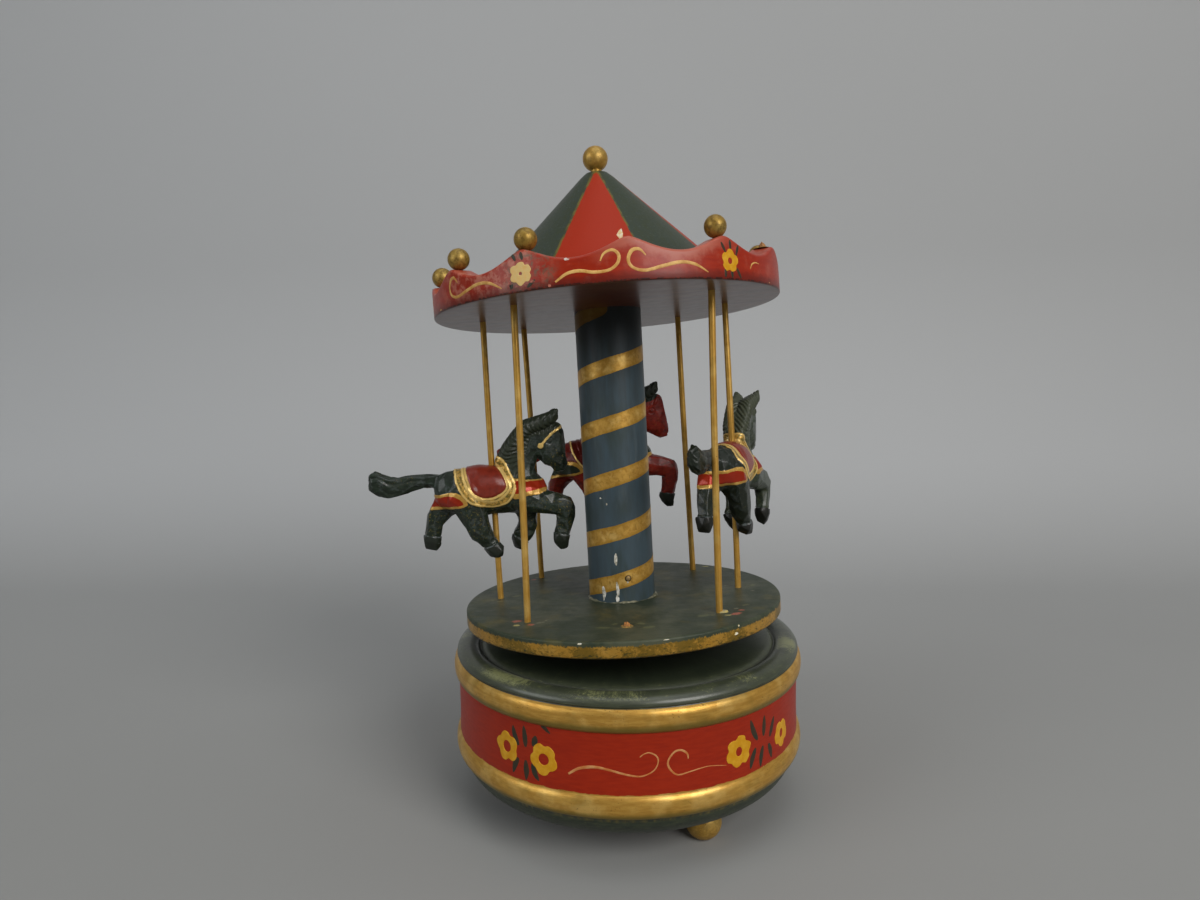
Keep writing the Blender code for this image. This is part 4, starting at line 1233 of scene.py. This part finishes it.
def makeBalls():
    gold = goldPaint("ball_gold", (0.8, 0.8, 0.35), 0.55)
    rng = random.Random(8)
    radius, height, neck = canopy["finial"]
    foot = canopy["roofTop"] - height
    finial = arc((0, 0), radius, 90, -64, 40)
    finial = [(0, radius)] + finial[1:] + [(neck, foot + 0.3), (neck + 0.3, foot), (0, foot)]
    makePiece("gold_finial", turned(finial, 64), canopyFrame @ shifted(z=height),
              goldPaint("finial_gold", (0.8, 0.8, 0.35), 0.28), "turntable", ["finial_ball"])
    for peak in range(canopy["peaks"]):
        angle = canopy["firstPeak"] + 360 / canopy["peaks"] * peak
        spot = canopyFrame @ shifted(*around(angle, canopy["ballCircle"], crestHeight(angle)))
        if peak == canopy["stubPeak"]:
            points, faces = turned([(0, 2.6), (0.8, 2.2), (1.25, 1.2), (1.35, -0.2), (0, -0.2)], 14)
            points = [(x + z * 0.15 * rng.uniform(-1, 1), y, z + (rng.uniform(-0.6, 0.3) if z > 0.5 else 0))
                      for x, y, z in points]
            makePiece("torn_peg", (points, faces), spot, bareWood("peg_wood", (2.2, 2.2, 0.4)), "turntable",
                      ["broken_peg_stub"])
            smear = dab((0, 0), raggedOutline(8.2, 7.0, rng, 0.35), lambda x, y, lift: (x, y, lift), 0.12)
            makePiece("torn_peg_gold", smear, spot, gold, "turntable")
        if peak == 0:
            flake = [(-0.2, 0, -0.1), (0.9, 0, 0.1), (1.2, 0.2, 1.5), (0.7, 0.3, 3.3), (-0.2, 0.2, 2.6),
                     (-1.1, 0.1, 1.2)]
            back = [(x * 0.9, y + 0.6, z * 0.9) for x, y, z in flake]
            makePiece("torn_glue", loft([flake[::-1], back[::-1]]), spot @ shifted(x=-2.0, y=-1.2),
                      plainPaint("torn_flake", "flowerWorn", "chalk", 0.7, 0.9), "turntable")
        if peak not in canopy["barePeaks"]:
            size = canopy["ball"]
            ball = [(0, size)] + arc((0, 0), size, 90, -84, 32)[1:] + [(0, -size + 0.05)]
            squash = Matrix.Diagonal((1 + rng.uniform(-0.03, 0.02), 1 + rng.uniform(-0.03, 0.02), 1, 1))
            place = spot @ shifted(z=size - 0.1) @ Matrix.Rotation(rng.uniform(0, 6), 4, "X") @ squash
            makePiece(f"gold_ball_{peak + 1}", turned(ball, 48), place, gold, "turntable",
                      [f"rim_ball_{peak + 1}"])


makeCanopy()
makeBalls()

print("the horses")

# A horse in its own frame: +X ahead, +Y to its left, the rod along Z.
# Limb rows are x, y, z and radius; then the limb's sideways squeeze, and how square it is cut.
horseLimbs = {
    "body": ([(-16.9, 0, 1.3, 8.9), (-6, 0, 0.2, 10.2), (5, 0, -0.5, 10.0), (14.3, 0, -1.5, 8.9)], 0.74, 2.3),
    "neck": ([(9.5, 0, 4, 9.0), (11, 0, 11, 8.0), (13, 0, 17.5, 7.2), (18.5, 0, 22.5, 6.6)], 0.6, 2.3),
    "head": ([(22.5, 0, 22, 6.0), (26.6, 0, 22.9, 6.1), (27.5, 0, 17, 5.5), (28.8, 0, 12.4, 4.6),
              (29.6, 0, 9.7, 3.8)], 0.64, 2.8),
    "cheek": ([(23.6, 0, 18, 5.2), (25.6, 0, 13.6, 4.5)], 0.76, 2.3),
    "tail": ([(-21, 0, 5.0, 3.0), (-26, 0, 6.1, 2.9), (-30.5, 0, 6.5, 3.0), (-35, 0, 5.9, 3.6),
              (-41, 0, 4.7, 4.3), (-45.5, 0, 4.6, 4.9), (-49, 0, 6.0, 4.8), (-50.4, 0, 8.8, 3.3),
              (-50.4, 0, 11.0, 1.2)], 0.6, 2.5),
    "leftHind": ([(-17, 3.4, -1.5, 6.5), (-22.3, 4.0, -6.2, 5.1), (-26.3, 4.2, -11, 4.1),
                  (-27.3, 4.2, -15, 3.6), (-27.8, 4.2, -17.8, 3.3)], 0.85, 3.0),
    "rightHind": ([(-13, -3.4, -2, 7.0), (-10.4, -4.6, -8, 6.0), (-8.5, -4.8, -13, 5.3),
                   (-7.4, -4.8, -16.4, 5.1), (-4.4, -4.8, -21.2, 3.6), (-2.8, -4.8, -23.4, 3.0)], 0.85, 3.0),
    "rightFront": ([(13, -3.2, -3, 6.8), (18.5, -4.2, -5.8, 5.3), (25, -4.8, -6.8, 4.9),
                    (30.6, -4.8, -8.9, 4.5), (30.9, -4.8, -13, 3.9), (29.8, -4.8, -17.5, 3.5),
                    (28.7, -4.8, -20.4, 3.2)], 0.85, 3.0),
    "leftFront": ([(13, 3.2, -5, 6.0), (14.3, 4.0, -12, 4.4), (14.2, 4.2, -17.2, 4.0),
                   (12.7, 4.2, -20.6, 3.9)], 0.85, 3.0),
}
horseManes = {"mane": ([(4.2, 1.7, 12.6, 2.4), (7.6, 2.4, 17.5, 3.0), (12.2, 2.6, 23, 3.1),
                        (16.3, 2.7, 27, 3.1), (23, 3.1, 28.8, 2.9), (27.9, 4.1, 31.0, 2.1),
                        (29.3, 5.0, 33.6, 0.8)], 1.0, 2.4)}
horseHooves = {
    "leftHindHoof": ([(-28.6, 4.2, -19.9, 3.5), (-28.9, 4.2, -21.6, 3.2), (-27.4, 4.2, -22.6, 2.4)],
                     0.9, 3.4),
    "rightHindHoof": ([(-2.0, -4.8, -24.9, 3.4), (-0.4, -4.8, -26.2, 3.0)], 0.9, 3.4),
    "rightFrontHoof": ([(28.1, -4.8, -22.6, 3.6), (28.4, -4.8, -24.9, 2.7), (29.4, -4.8, -27.6, 1.2)],
                       0.9, 3.4),
    "leftFrontHoof": ([(10.6, 4.2, -22.3, 4.1), (10.2, 4.2, -25.0, 2.9), (9.8, 4.2, -27.5, 1.0)], 0.9, 3.4),
}
# where each hoof starts: a line across the leg, above the hoof, and the side that leg is on
hoofLines = (((-32.0, -17.9), (-24.6, -19.3), 1), ((-6.0, -24.6), (0.8, -22.4), -1),
             ((24.9, -20.2), (32.4, -21.9), -1), ((6.6, -20.6), (13.4, -24.6), 1))
# outlines on the horse's side, x and z; those that reach past its back or rump go all the way over it
horseOutlines = {
    "saddle": [(-11.8, 17), (-11.6, 10.6), (-11.2, 7.6), (-9.7, 1.5), (-7.2, -1.3), (-3.4, -2.3), (0.4, -1.8),
               (4.4, 0.4), (5.4, 3.1), (3.6, 7.4), (1.4, 10.4), (-1.0, 11.8), (-2.4, 17)],
    "seam": [(-13.8, 17), (-13.6, 9.9), (-13.0, 5.7), (-11.6, 1.4), (-8.6, -2.3), (-2.9, -4.5), (1.9, -3.9),
             (5.9, -1.0), (7.6, 2.3), (5.0, 8.0), (2.6, 11.8), (0.6, 13.4), (-1.0, 17)],
    "blanket": [(-17.2, 17), (-16.9, 10.2), (-16.5, 5.9), (-14.7, 1.0), (-11.3, -3.6), (-7.5, -5.6),
                (-3.0, -6.6), (1.5, -6.6), (5.9, -5.2), (9.0, -1.4), (9.6, 2.8), (7.6, 8.2), (6.0, 12.2),
                (4.4, 14.4), (2.0, 15.6), (1.0, 17)],
    "strapEdge": [(-36, -6.9), (-25, -6.6), (-20.6, -6.3), (-15.4, -5.9), (-11.5, -4.3), (-14.2, -0.2),
                  (-17.6, 1.1), (-21.5, 0.6), (-25, 0.1), (-36, 0.4)],
    "strap": [(-36, -5.7), (-24.5, -5.3), (-18.2, -5.0), (-13.4, -4.2), (-16.2, -1.1), (-20.9, -0.5),
              (-25, -1.2), (-36, -0.9)],
    "breastEdge": [(8.2, 4.6), (14.5, 4.0), (21.1, 3.8), (31, 3.6), (31, -1.2), (23.7, -1.1), (20, -2.2),
                   (14.8, -2.6), (8.0, -3.4)],
    "breast": [(8.6, 3.6), (14.5, 3.3), (21.1, 3.2), (31, 2.9), (31, 0.0), (22.2, -0.1), (13.9, -0.8),
               (8.6, -1.2)],
    "mane": [(-0.5, 11.6), (2, 17), (6, 24), (10, 28.5), (14, 32), (22, 34.5), (29, 37), (34, 34),
             (30.8, 25.4), (24.4, 22.6), (20.6, 23.4), (17.2, 22.2), (15.4, 17.4), (12.8, 10.6), (9.9, 3.9),
             (7.8, 8.4), (5.6, 13.2)],
}
bridle = {"line": [(21.8, 18.6), (24.9, 21.7), (27.7, 24.1), (31.4, 26.2)], "width": 1.0,
          "knob": (21.7, 18.5, 1.25)}
horseCut = {"voxel": 0.42, "soft": 0.75, "facets": 1050, "flatness": 0.92, "swell": 0.1, "maneStep": 0.3,
            "jitter": 0.12}
horses = {
    # rod, height above the platform, heading, nose up, roll
    "horse_right": {"seat": ("rod_3", 53.2, 67.5, -2.5, -1.2), "slot": "grey_green_horse", "seed": 31},
    "horse_back": {"seat": ("rod_5", 56.8, 6.0, 4.5, 0.0), "slot": "red_horse", "seed": 32},
    "horse_left": {"seat": ("rod_7", 48.7, 11.5, 0.5, 0.0), "slot": "dark_green_horse", "seed": 33},
}


def limbDistance(points, limb):
    rows, squeeze, square = limb
    rows = np.array(rows, float)
    middle = rows[:, 1].mean()
    rows[:, 1] = middle + (rows[:, 1] - middle) * squeeze
    nearest = np.full(len(points), np.inf)
    for start, end in zip(rows, rows[1:]):
        run = end[:3] - start[:3]
        share = np.clip((points - start[:3]) @ run / (run @ run), 0, 1)
        away = points - start[:3] - share[:, None] * run
        along = np.hypot(away[:, 0], away[:, 2])
        aside = np.abs(away[:, 1]) / squeeze
        reach = (along ** square + aside ** square) ** (1 / square)
        nearest = np.minimum(nearest, reach - start[3] - share * (end[3] - start[3]))
    return nearest


def mirrored(limb):
    rows, squeeze, square = limb
    return [(x, -y, z, radius) for x, y, z, radius in rows], squeeze, square


def horseDistance(points):
    # how far each point is outside the carving; the limbs flow into each other
    soft = horseCut["soft"]
    total = sum(np.exp(-limbDistance(points, limb) / soft) for limb in horseLimbs.values())
    flesh = -soft * np.log(np.maximum(total, 1e-30))
    step = horseCut["maneStep"]
    sharp = [flesh] + [limbDistance(points, limb) for limb in horseHooves.values()]
    sharp += [limbDistance(points, side) for limb in horseManes.values() for side in (limb, mirrored(limb))]
    total = sum(np.exp(-distance / step) for distance in sharp)
    return -step * np.log(np.maximum(total, 1e-30))


def fusedHorse():
    # balls and tapered lengths, fused into one even skin that the carving then follows
    bm = bmesh.new()
    limbs = [*horseLimbs.values(), *horseHooves.values(), *horseManes.values()]
    limbs += [mirrored(limb) for limb in horseManes.values()]
    for rows, squeeze, _ in limbs:
        middle = sum(row[1] for row in rows) / len(rows) * (1 - squeeze)
        hold = Matrix.Translation((0, middle, 0)) @ Matrix.Diagonal((1, squeeze, 1, 1))
        for x, y, z, radius in rows:
            bmesh.ops.create_uvsphere(bm, u_segments=20, v_segments=12, radius=radius,
                                      matrix=hold @ Matrix.Translation((x, y, z)))
        for (x1, y1, z1, r1), (x2, y2, z2, r2) in zip(rows, rows[1:]):
            start, end = Vector((x1, y1, z1)), Vector((x2, y2, z2))
            turn = (end - start).to_track_quat("Z", "Y").to_matrix().to_4x4()
            bmesh.ops.create_cone(bm, cap_ends=True, segments=20, radius1=r1, radius2=r2,
                                  depth=(end - start).length,
                                  matrix=hold @ Matrix.Translation((start + end) / 2) @ turn)
    mesh = bpy.data.meshes.new("fused_horse")
    bm.to_mesh(mesh)
    bm.free()
    form = bpy.data.objects.new("fused_horse", mesh)
    bpy.context.scene.collection.objects.link(form)
    remesh = form.modifiers.new("fuse", "REMESH")
    remesh.mode = "VOXEL"
    remesh.voxel_size = horseCut["voxel"]
    fused = bpy.data.meshes.new_from_object(form.evaluated_get(bpy.context.evaluated_depsgraph_get()))
    bpy.data.objects.remove(form)
    points = np.empty(len(fused.vertices) * 3)
    fused.vertices.foreach_get("co", points)
    points = points.reshape(-1, 3)
    faces = [list(face.vertices) for face in fused.polygons]
    reach = 0.05
    for _ in range(5):
        here = horseDistance(points)
        slope = np.stack([(horseDistance(points + reach * np.eye(3)[k]) - here) / reach for k in range(3)],
                         axis=1)
        size = np.maximum((slope ** 2).sum(axis=1), 0.2)
        points = points - np.clip(here / size, -1.0, 1.0)[:, None] * slope
    return points, faces


def insideOutline(points, outline):
    # how far each point is inside a closed outline, negative outside
    flat = points[:, (0, 2)]
    corners = softCurve(outline, 6, closed=True)
    nearest = np.full(len(flat), np.inf)
    inside = np.zeros(len(flat), bool)
    for start, end in zip(corners, np.roll(corners, -1, axis=0)):
        run = end - start
        share = np.clip((flat - start) @ run / max(run @ run, 1e-9), 0, 1)
        away = flat - start - share[:, None] * run
        nearest = np.minimum(nearest, np.hypot(away[:, 0], away[:, 1]))
        crosses = (start[1] > flat[:, 1]) != (end[1] > flat[:, 1])
        rise = run[1] if abs(run[1]) > 1e-9 else 1e-9
        inside ^= crosses & (flat[:, 0] < start[0] + (flat[:, 1] - start[1]) * run[0] / rise)
    return np.where(inside, nearest, -nearest)


def besideLine(points, line):
    corners = softCurve(line, 6)
    flat, nearest = points[:, (0, 2)], np.full(len(points), np.inf)
    for start, end in zip(corners, corners[1:]):
        run = end - start
        share = np.clip((flat - start) @ run / (run @ run), 0, 1)
        away = flat - start - share[:, None] * run
        nearest = np.minimum(nearest, np.hypot(away[:, 0], away[:, 1]))
    return nearest


def smooth(value, low, high):
    share = np.clip((value - low) / (high - low), 0, 1)
    return share * share * (3 - 2 * share)


def horseFields(points):
    x, y, z = points.T
    fields = {name: insideOutline(points, outline) for name, outline in horseOutlines.items()}
    fields["mane"] = np.where(np.abs(y) < 6.5, fields["mane"], -5)
    fields["strapEdge"] = np.maximum(fields["strapEdge"], fields.pop("breastEdge"))
    fields["strap"] = np.maximum(fields["strap"], fields.pop("breast"))
    knobX, knobZ, knobSize = bridle["knob"]
    ring = knobSize - np.hypot(x - knobX, z - knobZ)
    head = np.where((z > 12) & (fields["blanket"] < 0), 1, 0)
    strap = bridle["width"] / 2 - besideLine(points, bridle["line"])
    fields["bridle"] = np.where(head, np.maximum(strap, ring), -3)
    hoof = np.full(len(points), -4.0)
    for (x1, z1), (x2, z2), side in hoofLines:
        run = np.array((x2 - x1, z2 - z1))
        across = ((x - x1) * run[0] + (z - z1) * run[1]) / (run @ run)
        below = ((z - z1) * run[0] - (x - x1) * run[1]) / -np.hypot(*run)
        near = (across > -0.35) & (across < 1.35) & (below < 12) & (y * side > 0)
        hoof = np.maximum(hoof, np.where(near, below, -4.0))
    fields["hoof"] = hoof
    return fields


def whittled(points, faces, fields, seed):
    # knife cuts: the skin is drawn towards a coarse version of itself, flat between its edges
    rng = np.random.default_rng(seed)
    mesh = bpy.data.meshes.new("coarse_horse")
    mesh.from_pydata((points + rng.normal(0, horseCut["jitter"], points.shape)).tolist(), [], faces)
    form = bpy.data.objects.new("coarse_horse", mesh)
    bpy.context.scene.collection.objects.link(form)
    fewer = form.modifiers.new("cuts", "DECIMATE")
    fewer.ratio = horseCut["facets"] / (2 * len(faces))
    coarse = form.evaluated_get(bpy.context.evaluated_depsgraph_get()).to_mesh()
    tree = BVHTree.FromPolygons([v.co[:] for v in coarse.vertices],
                                [list(f.vertices) for f in coarse.polygons])
    flat = np.array([tree.find_nearest(point)[0] for point in points.tolist()])
    bpy.data.objects.remove(form)
    away = flat - points
    plain = 1 - smooth(np.maximum(fields["blanket"], fields["mane"]), -0.4, 0.4)
    shaped = points + away * (horseCut["flatness"] * (0.12 + 0.88 * plain))[:, None]
    ridge = 1 - np.clip(np.linalg.norm(away, axis=1) / 0.3, 0, 1)
    return shaped, ridge * plain


def carved(points, faces, normals, fields, seed):
    # the raised saddle cloth and straps, and the cut locks of mane and tail
    x, y, z = points.T
    blanket, seam, saddle, hoof = (fields[name] for name in ("blanket", "seam", "saddle", "hoof"))
    bare = 1 - smooth(blanket, -0.3, 0.3)
    depth = 0.5 * smooth(blanket, -0.25, 0.35) - 0.22 * smooth(0.45 - np.abs(seam), 0, 0.4)
    depth += 0.25 * smooth(seam, -0.2, 0.3)
    depth += 0.35 * smooth(saddle, -0.1, 0.9) + 0.35 * smooth(saddle, 0.4, 4.5)
    depth -= 0.3 * smooth(0.4 - np.abs(saddle + 0.1), 0, 0.4)
    depth += 0.28 * smooth(fields["strapEdge"], -0.2, 0.3) * bare
    depth += 0.3 * smooth(fields["bridle"], -0.25, 0.2)
    depth += 0.3 * smooth(hoof, -0.15, 0.25) - 0.35 * smooth(0.45 - np.abs(hoof + 0.2), 0, 0.4)
    onMane = smooth(fields["mane"], -0.1, 0.6) * bare
    fan = np.arctan2(z - 14, 22.5 - x) + 0.075 * np.abs(y)
    wander = 0.16 * np.sin(0.55 * z + 1.3 * seed) + 0.12 * np.sin(0.9 * x + seed)
    lock = np.mod(fan / 0.15 + wander, 1)
    depth += onMane * (0.35 - 0.85 * np.abs(2 * lock - 1) ** 2.5)
    onTail = smooth(-x, 27.5, 31)
    spin = np.arctan2(y / 0.6, z - np.interp(-x, [25, 35, 45, 50], [6.1, 5.9, 4.8, 7.5]))
    lock = np.mod(spin * 7 / math.tau + 0.12 * np.sin(0.3 * x + seed) + 0.015 * x, 1)
    depth -= onTail * 0.42 * np.abs(2 * lock - 1) ** 4
    # eye, nostril and mouth
    for place, size, height in (((25.8, 20.4), 1.15, 0.42), ((31.4, 10.0), 0.75, -0.45)):
        depth += height * smooth(size - np.hypot(x - place[0], (z - place[1]) * 1.25), 0, 0.7)
    depth -= 0.28 * smooth(0.5 - np.abs(np.hypot(x - 25.8, (z - 20.4) * 1.25) - 1.5), 0, 0.4)
    mouth = besideLine(points, [(33.6, 7.9), (31.6, 8.0), (29.9, 8.9)])
    depth -= 0.35 * smooth(0.45 - mouth, 0, 0.4)
    shaped, ridge = whittled(points, faces, fields, seed)
    return shaped + normals * (depth + horseCut["swell"])[:, None], ridge


def horsePaint(name, coat):
    # the harness and the saddle cloth are painted where the carving's fields say
    f = Finish(name + "_paint", **{"Coat Roughness": 0.2})
    place = f.place()
    streaks = f.scaled(place, (0.35, 0.5, 0.9))
    wobble = f.wobble(0.55, place, 0.9, 4)

    def inside(field, soft=0.1, grow=0.0):
        return f.rise(f.plus(f.field(field), wobble), -soft - grow, soft - grow)

    tone, rough = coat["mix"](f, streaks, place)
    ridge = f.rise(f.plus(f.field("ridge"), f.times(f.noise(place, 0.9, 4, 0.7), 1.3)), 1.35, 1.75)
    tone = f.over(tone, coat["worn"], ridge, 0.28)
    x, _, z = f.parts(place)
    # gold dust on the belly and the thighs, the muzzle and the top of the tail
    dusty = f.most(f.within(z, -20, -3.5, 3), f.times(f.rise(x, 23, 26), f.within(z, 4, 18, 2)))
    dusty = f.most(dusty, f.times(f.within(x, -48, -34, 4), f.rise(z, 4, 8)))
    belly = f.times(dusty, f.rise(f.noise(place, 1.0, 5, 0.72), 0.58, 0.64))
    tone = f.over(tone, "olive", belly, coat["dust"])
    gold, goldRough = goldMix(f, streaks, place)
    strap = f.shades(f.noise(place, 0.5, 4), coat["strap"], coat["strapShade"])
    onMane = inside("mane", grow=coat["maneGrow"])
    tone = f.mix(onMane, tone, f.shades(f.noise(place, 0.6, 5), coat["mane"], coat["maneShade"]))
    rough = f.blend(onMane, rough, 0.6)
    onEdge = inside("strapEdge")
    tone = f.mix(onEdge, tone, gold)
    tone = f.mix(inside("strap"), tone, strap)
    cloth = inside("blanket")
    # pale bright lines along the cloth's edges, with rough dark gold between them
    line = f.most(f.within(f.plus(f.field("saddle"), wobble), -0.9, 0.0, 0.15),
                  f.within(f.plus(f.field("seam"), wobble), -0.1, 0.9, 0.15))
    line = f.times(line, coat["gilt"])
    line = f.most(line, f.within(f.plus(f.field("blanket"), wobble), 0.15, 0.95, 0.15))
    clothTone = f.shades(f.rise(f.noise(place, 0.7, 5, 0.7), 0.4, 0.6), "olive", "gold")
    clothTone = f.over(clothTone, "goldPit", f.rise(f.noise(place, 1.1, 4, 0.7), 0.6, 0.68))
    clothTone = f.over(f.mix(coat["gilt"], paint(coat["saddle"]), clothTone), "goldPale", line)
    tone = f.mix(cloth, tone, clothTone)
    onSaddle = inside("saddle")
    wear = f.times(f.rise(f.noise(place, 0.45, 4), 0.4, 0.75), 0.5)
    leather = f.shades(wear, coat["saddle"], coat["saddleShade"])
    tone = f.mix(onSaddle, tone, leather)
    f.feed(f.shader.inputs["Coat Weight"], f.blend(onSaddle, coat["gloss"], 0.35))
    onBridle = f.times(inside("bridle"), coat["bridle"])
    tone = f.over(tone, "goldPale", onBridle)
    onHoof = inside("hoof")
    tone = f.mix(onHoof, tone, f.shades(f.noise(place, 0.7, 4), "soot", coat["hoof"]))
    hoofEdge = f.times(f.within(f.field("hoof"), -0.1, 0.35, 0.15), f.rise(f.noise(place, 0.6, 3), 0.4, 0.6))
    tone = f.over(tone, "slatePale", hoofEdge, 0.7)
    shiny = f.most(onEdge, f.most(cloth, onBridle))
    rough = f.blend(shiny, rough, goldRough)
    rough = f.blend(onSaddle, rough, 0.34)
    rough = f.blend(onHoof, rough, 0.5)
    metal = f.times(f.calc("SUBTRACT", shiny, onSaddle, clamp=True), 0.35)
    height = f.plus(f.times(f.noise(place, 1.6, 4), 0.5), f.times(f.noise(place, 5, 3), 0.25))
    return f.done(tone, rough, metal, height, 0.12)


def greenCoat(f, streaks, place):
    return greenMix(f, streaks, place, "horseGreen", "horseShade", "tableWorn")


def greyCoat(f, streaks, place):
    # dusty in front, and painted darker on the rump and the tail: painted shade
    tone, rough = greenMix(f, streaks, place, "tableGreen", "horseGreen", "tableWorn")
    rearShade = f.rise(f.times(f.parts(place)[0], -1), -6, 12)
    return f.over(tone, "horseShade", rearShade, 0.85), rough


def redCoat(f, streaks, place):
    return redMix(f, streaks, place, "backRed", "backDark")


coats = {
    "horse_left": {"mix": greenCoat, "worn": "slatePale", "strap": "roofRed", "strapShade": "red",
                   "saddle": "saddleRed", "saddleShade": "saddleDark", "mane": "tableGreen",
                   "maneShade": "horseShade", "hoof": "horseGreen", "gloss": 0.3, "bridle": 1, "gilt": 1,
                   "dust": 0.85, "maneGrow": 0},
    "horse_right": {"mix": greyCoat, "worn": "slatePale", "strap": "roofRed", "strapShade": "red",
                    "saddle": "saddleRed", "saddleShade": "saddleDark", "mane": "tableWorn",
                    "maneShade": "horseGreen", "hoof": "horseShade", "gloss": 0.3, "bridle": 0, "gilt": 1,
                    "dust": 0.3, "maneGrow": 0},
    "horse_back": {"mix": redCoat, "worn": "roofRed", "strap": "tableGreen", "strapShade": "greenShade",
                   "saddle": "saddleDark", "saddleShade": "backDark", "mane": "horseGreen",
                   "maneShade": "soot", "hoof": "horseGreen", "gloss": 0.1, "bridle": 0, "gilt": 0,
                   "dust": 0.3, "maneGrow": -2.2},
}


def makeHorses():
    points, faces = fusedHorse()
    smoothForm = bpy.data.meshes.new("smooth_horse")
    smoothForm.from_pydata(points.tolist(), [], faces)
    normals = np.empty(len(points) * 3)
    smoothForm.vertices.foreach_get("normal", normals)
    normals = normals.reshape(-1, 3)
    fields = horseFields(points)
    for name, horse in horses.items():
        rod, height, heading, nose, roll = horse["seat"]
        foot, _, top = rodEnds(rod)
        middle = foot.lerp(top, height / rods["length"])
        turn = (Matrix.Rotation(math.radians(heading), 4, "Z") @ Matrix.Rotation(-math.radians(nose), 4, "Y")
                @ Matrix.Rotation(math.radians(roll), 4, "X"))
        place = tableFrame @ shifted(*middle) @ turn
        shaped, ridge = carved(points, faces, normals, fields, horse["seed"])
        mesh = makeMesh("carved_" + name, (shaped, faces), place, 180)
        for field, values in (*fields.items(), ("ridge", ridge)):
            mesh.attributes.new(field, "FLOAT", "POINT").data.foreach_set("value", values.astype(np.float32))
        dress("carved_" + name, mesh, place, horsePaint(name, coats[name]), "turntable",
              [name])
        print(name, len(faces), "faces")


makeHorses()
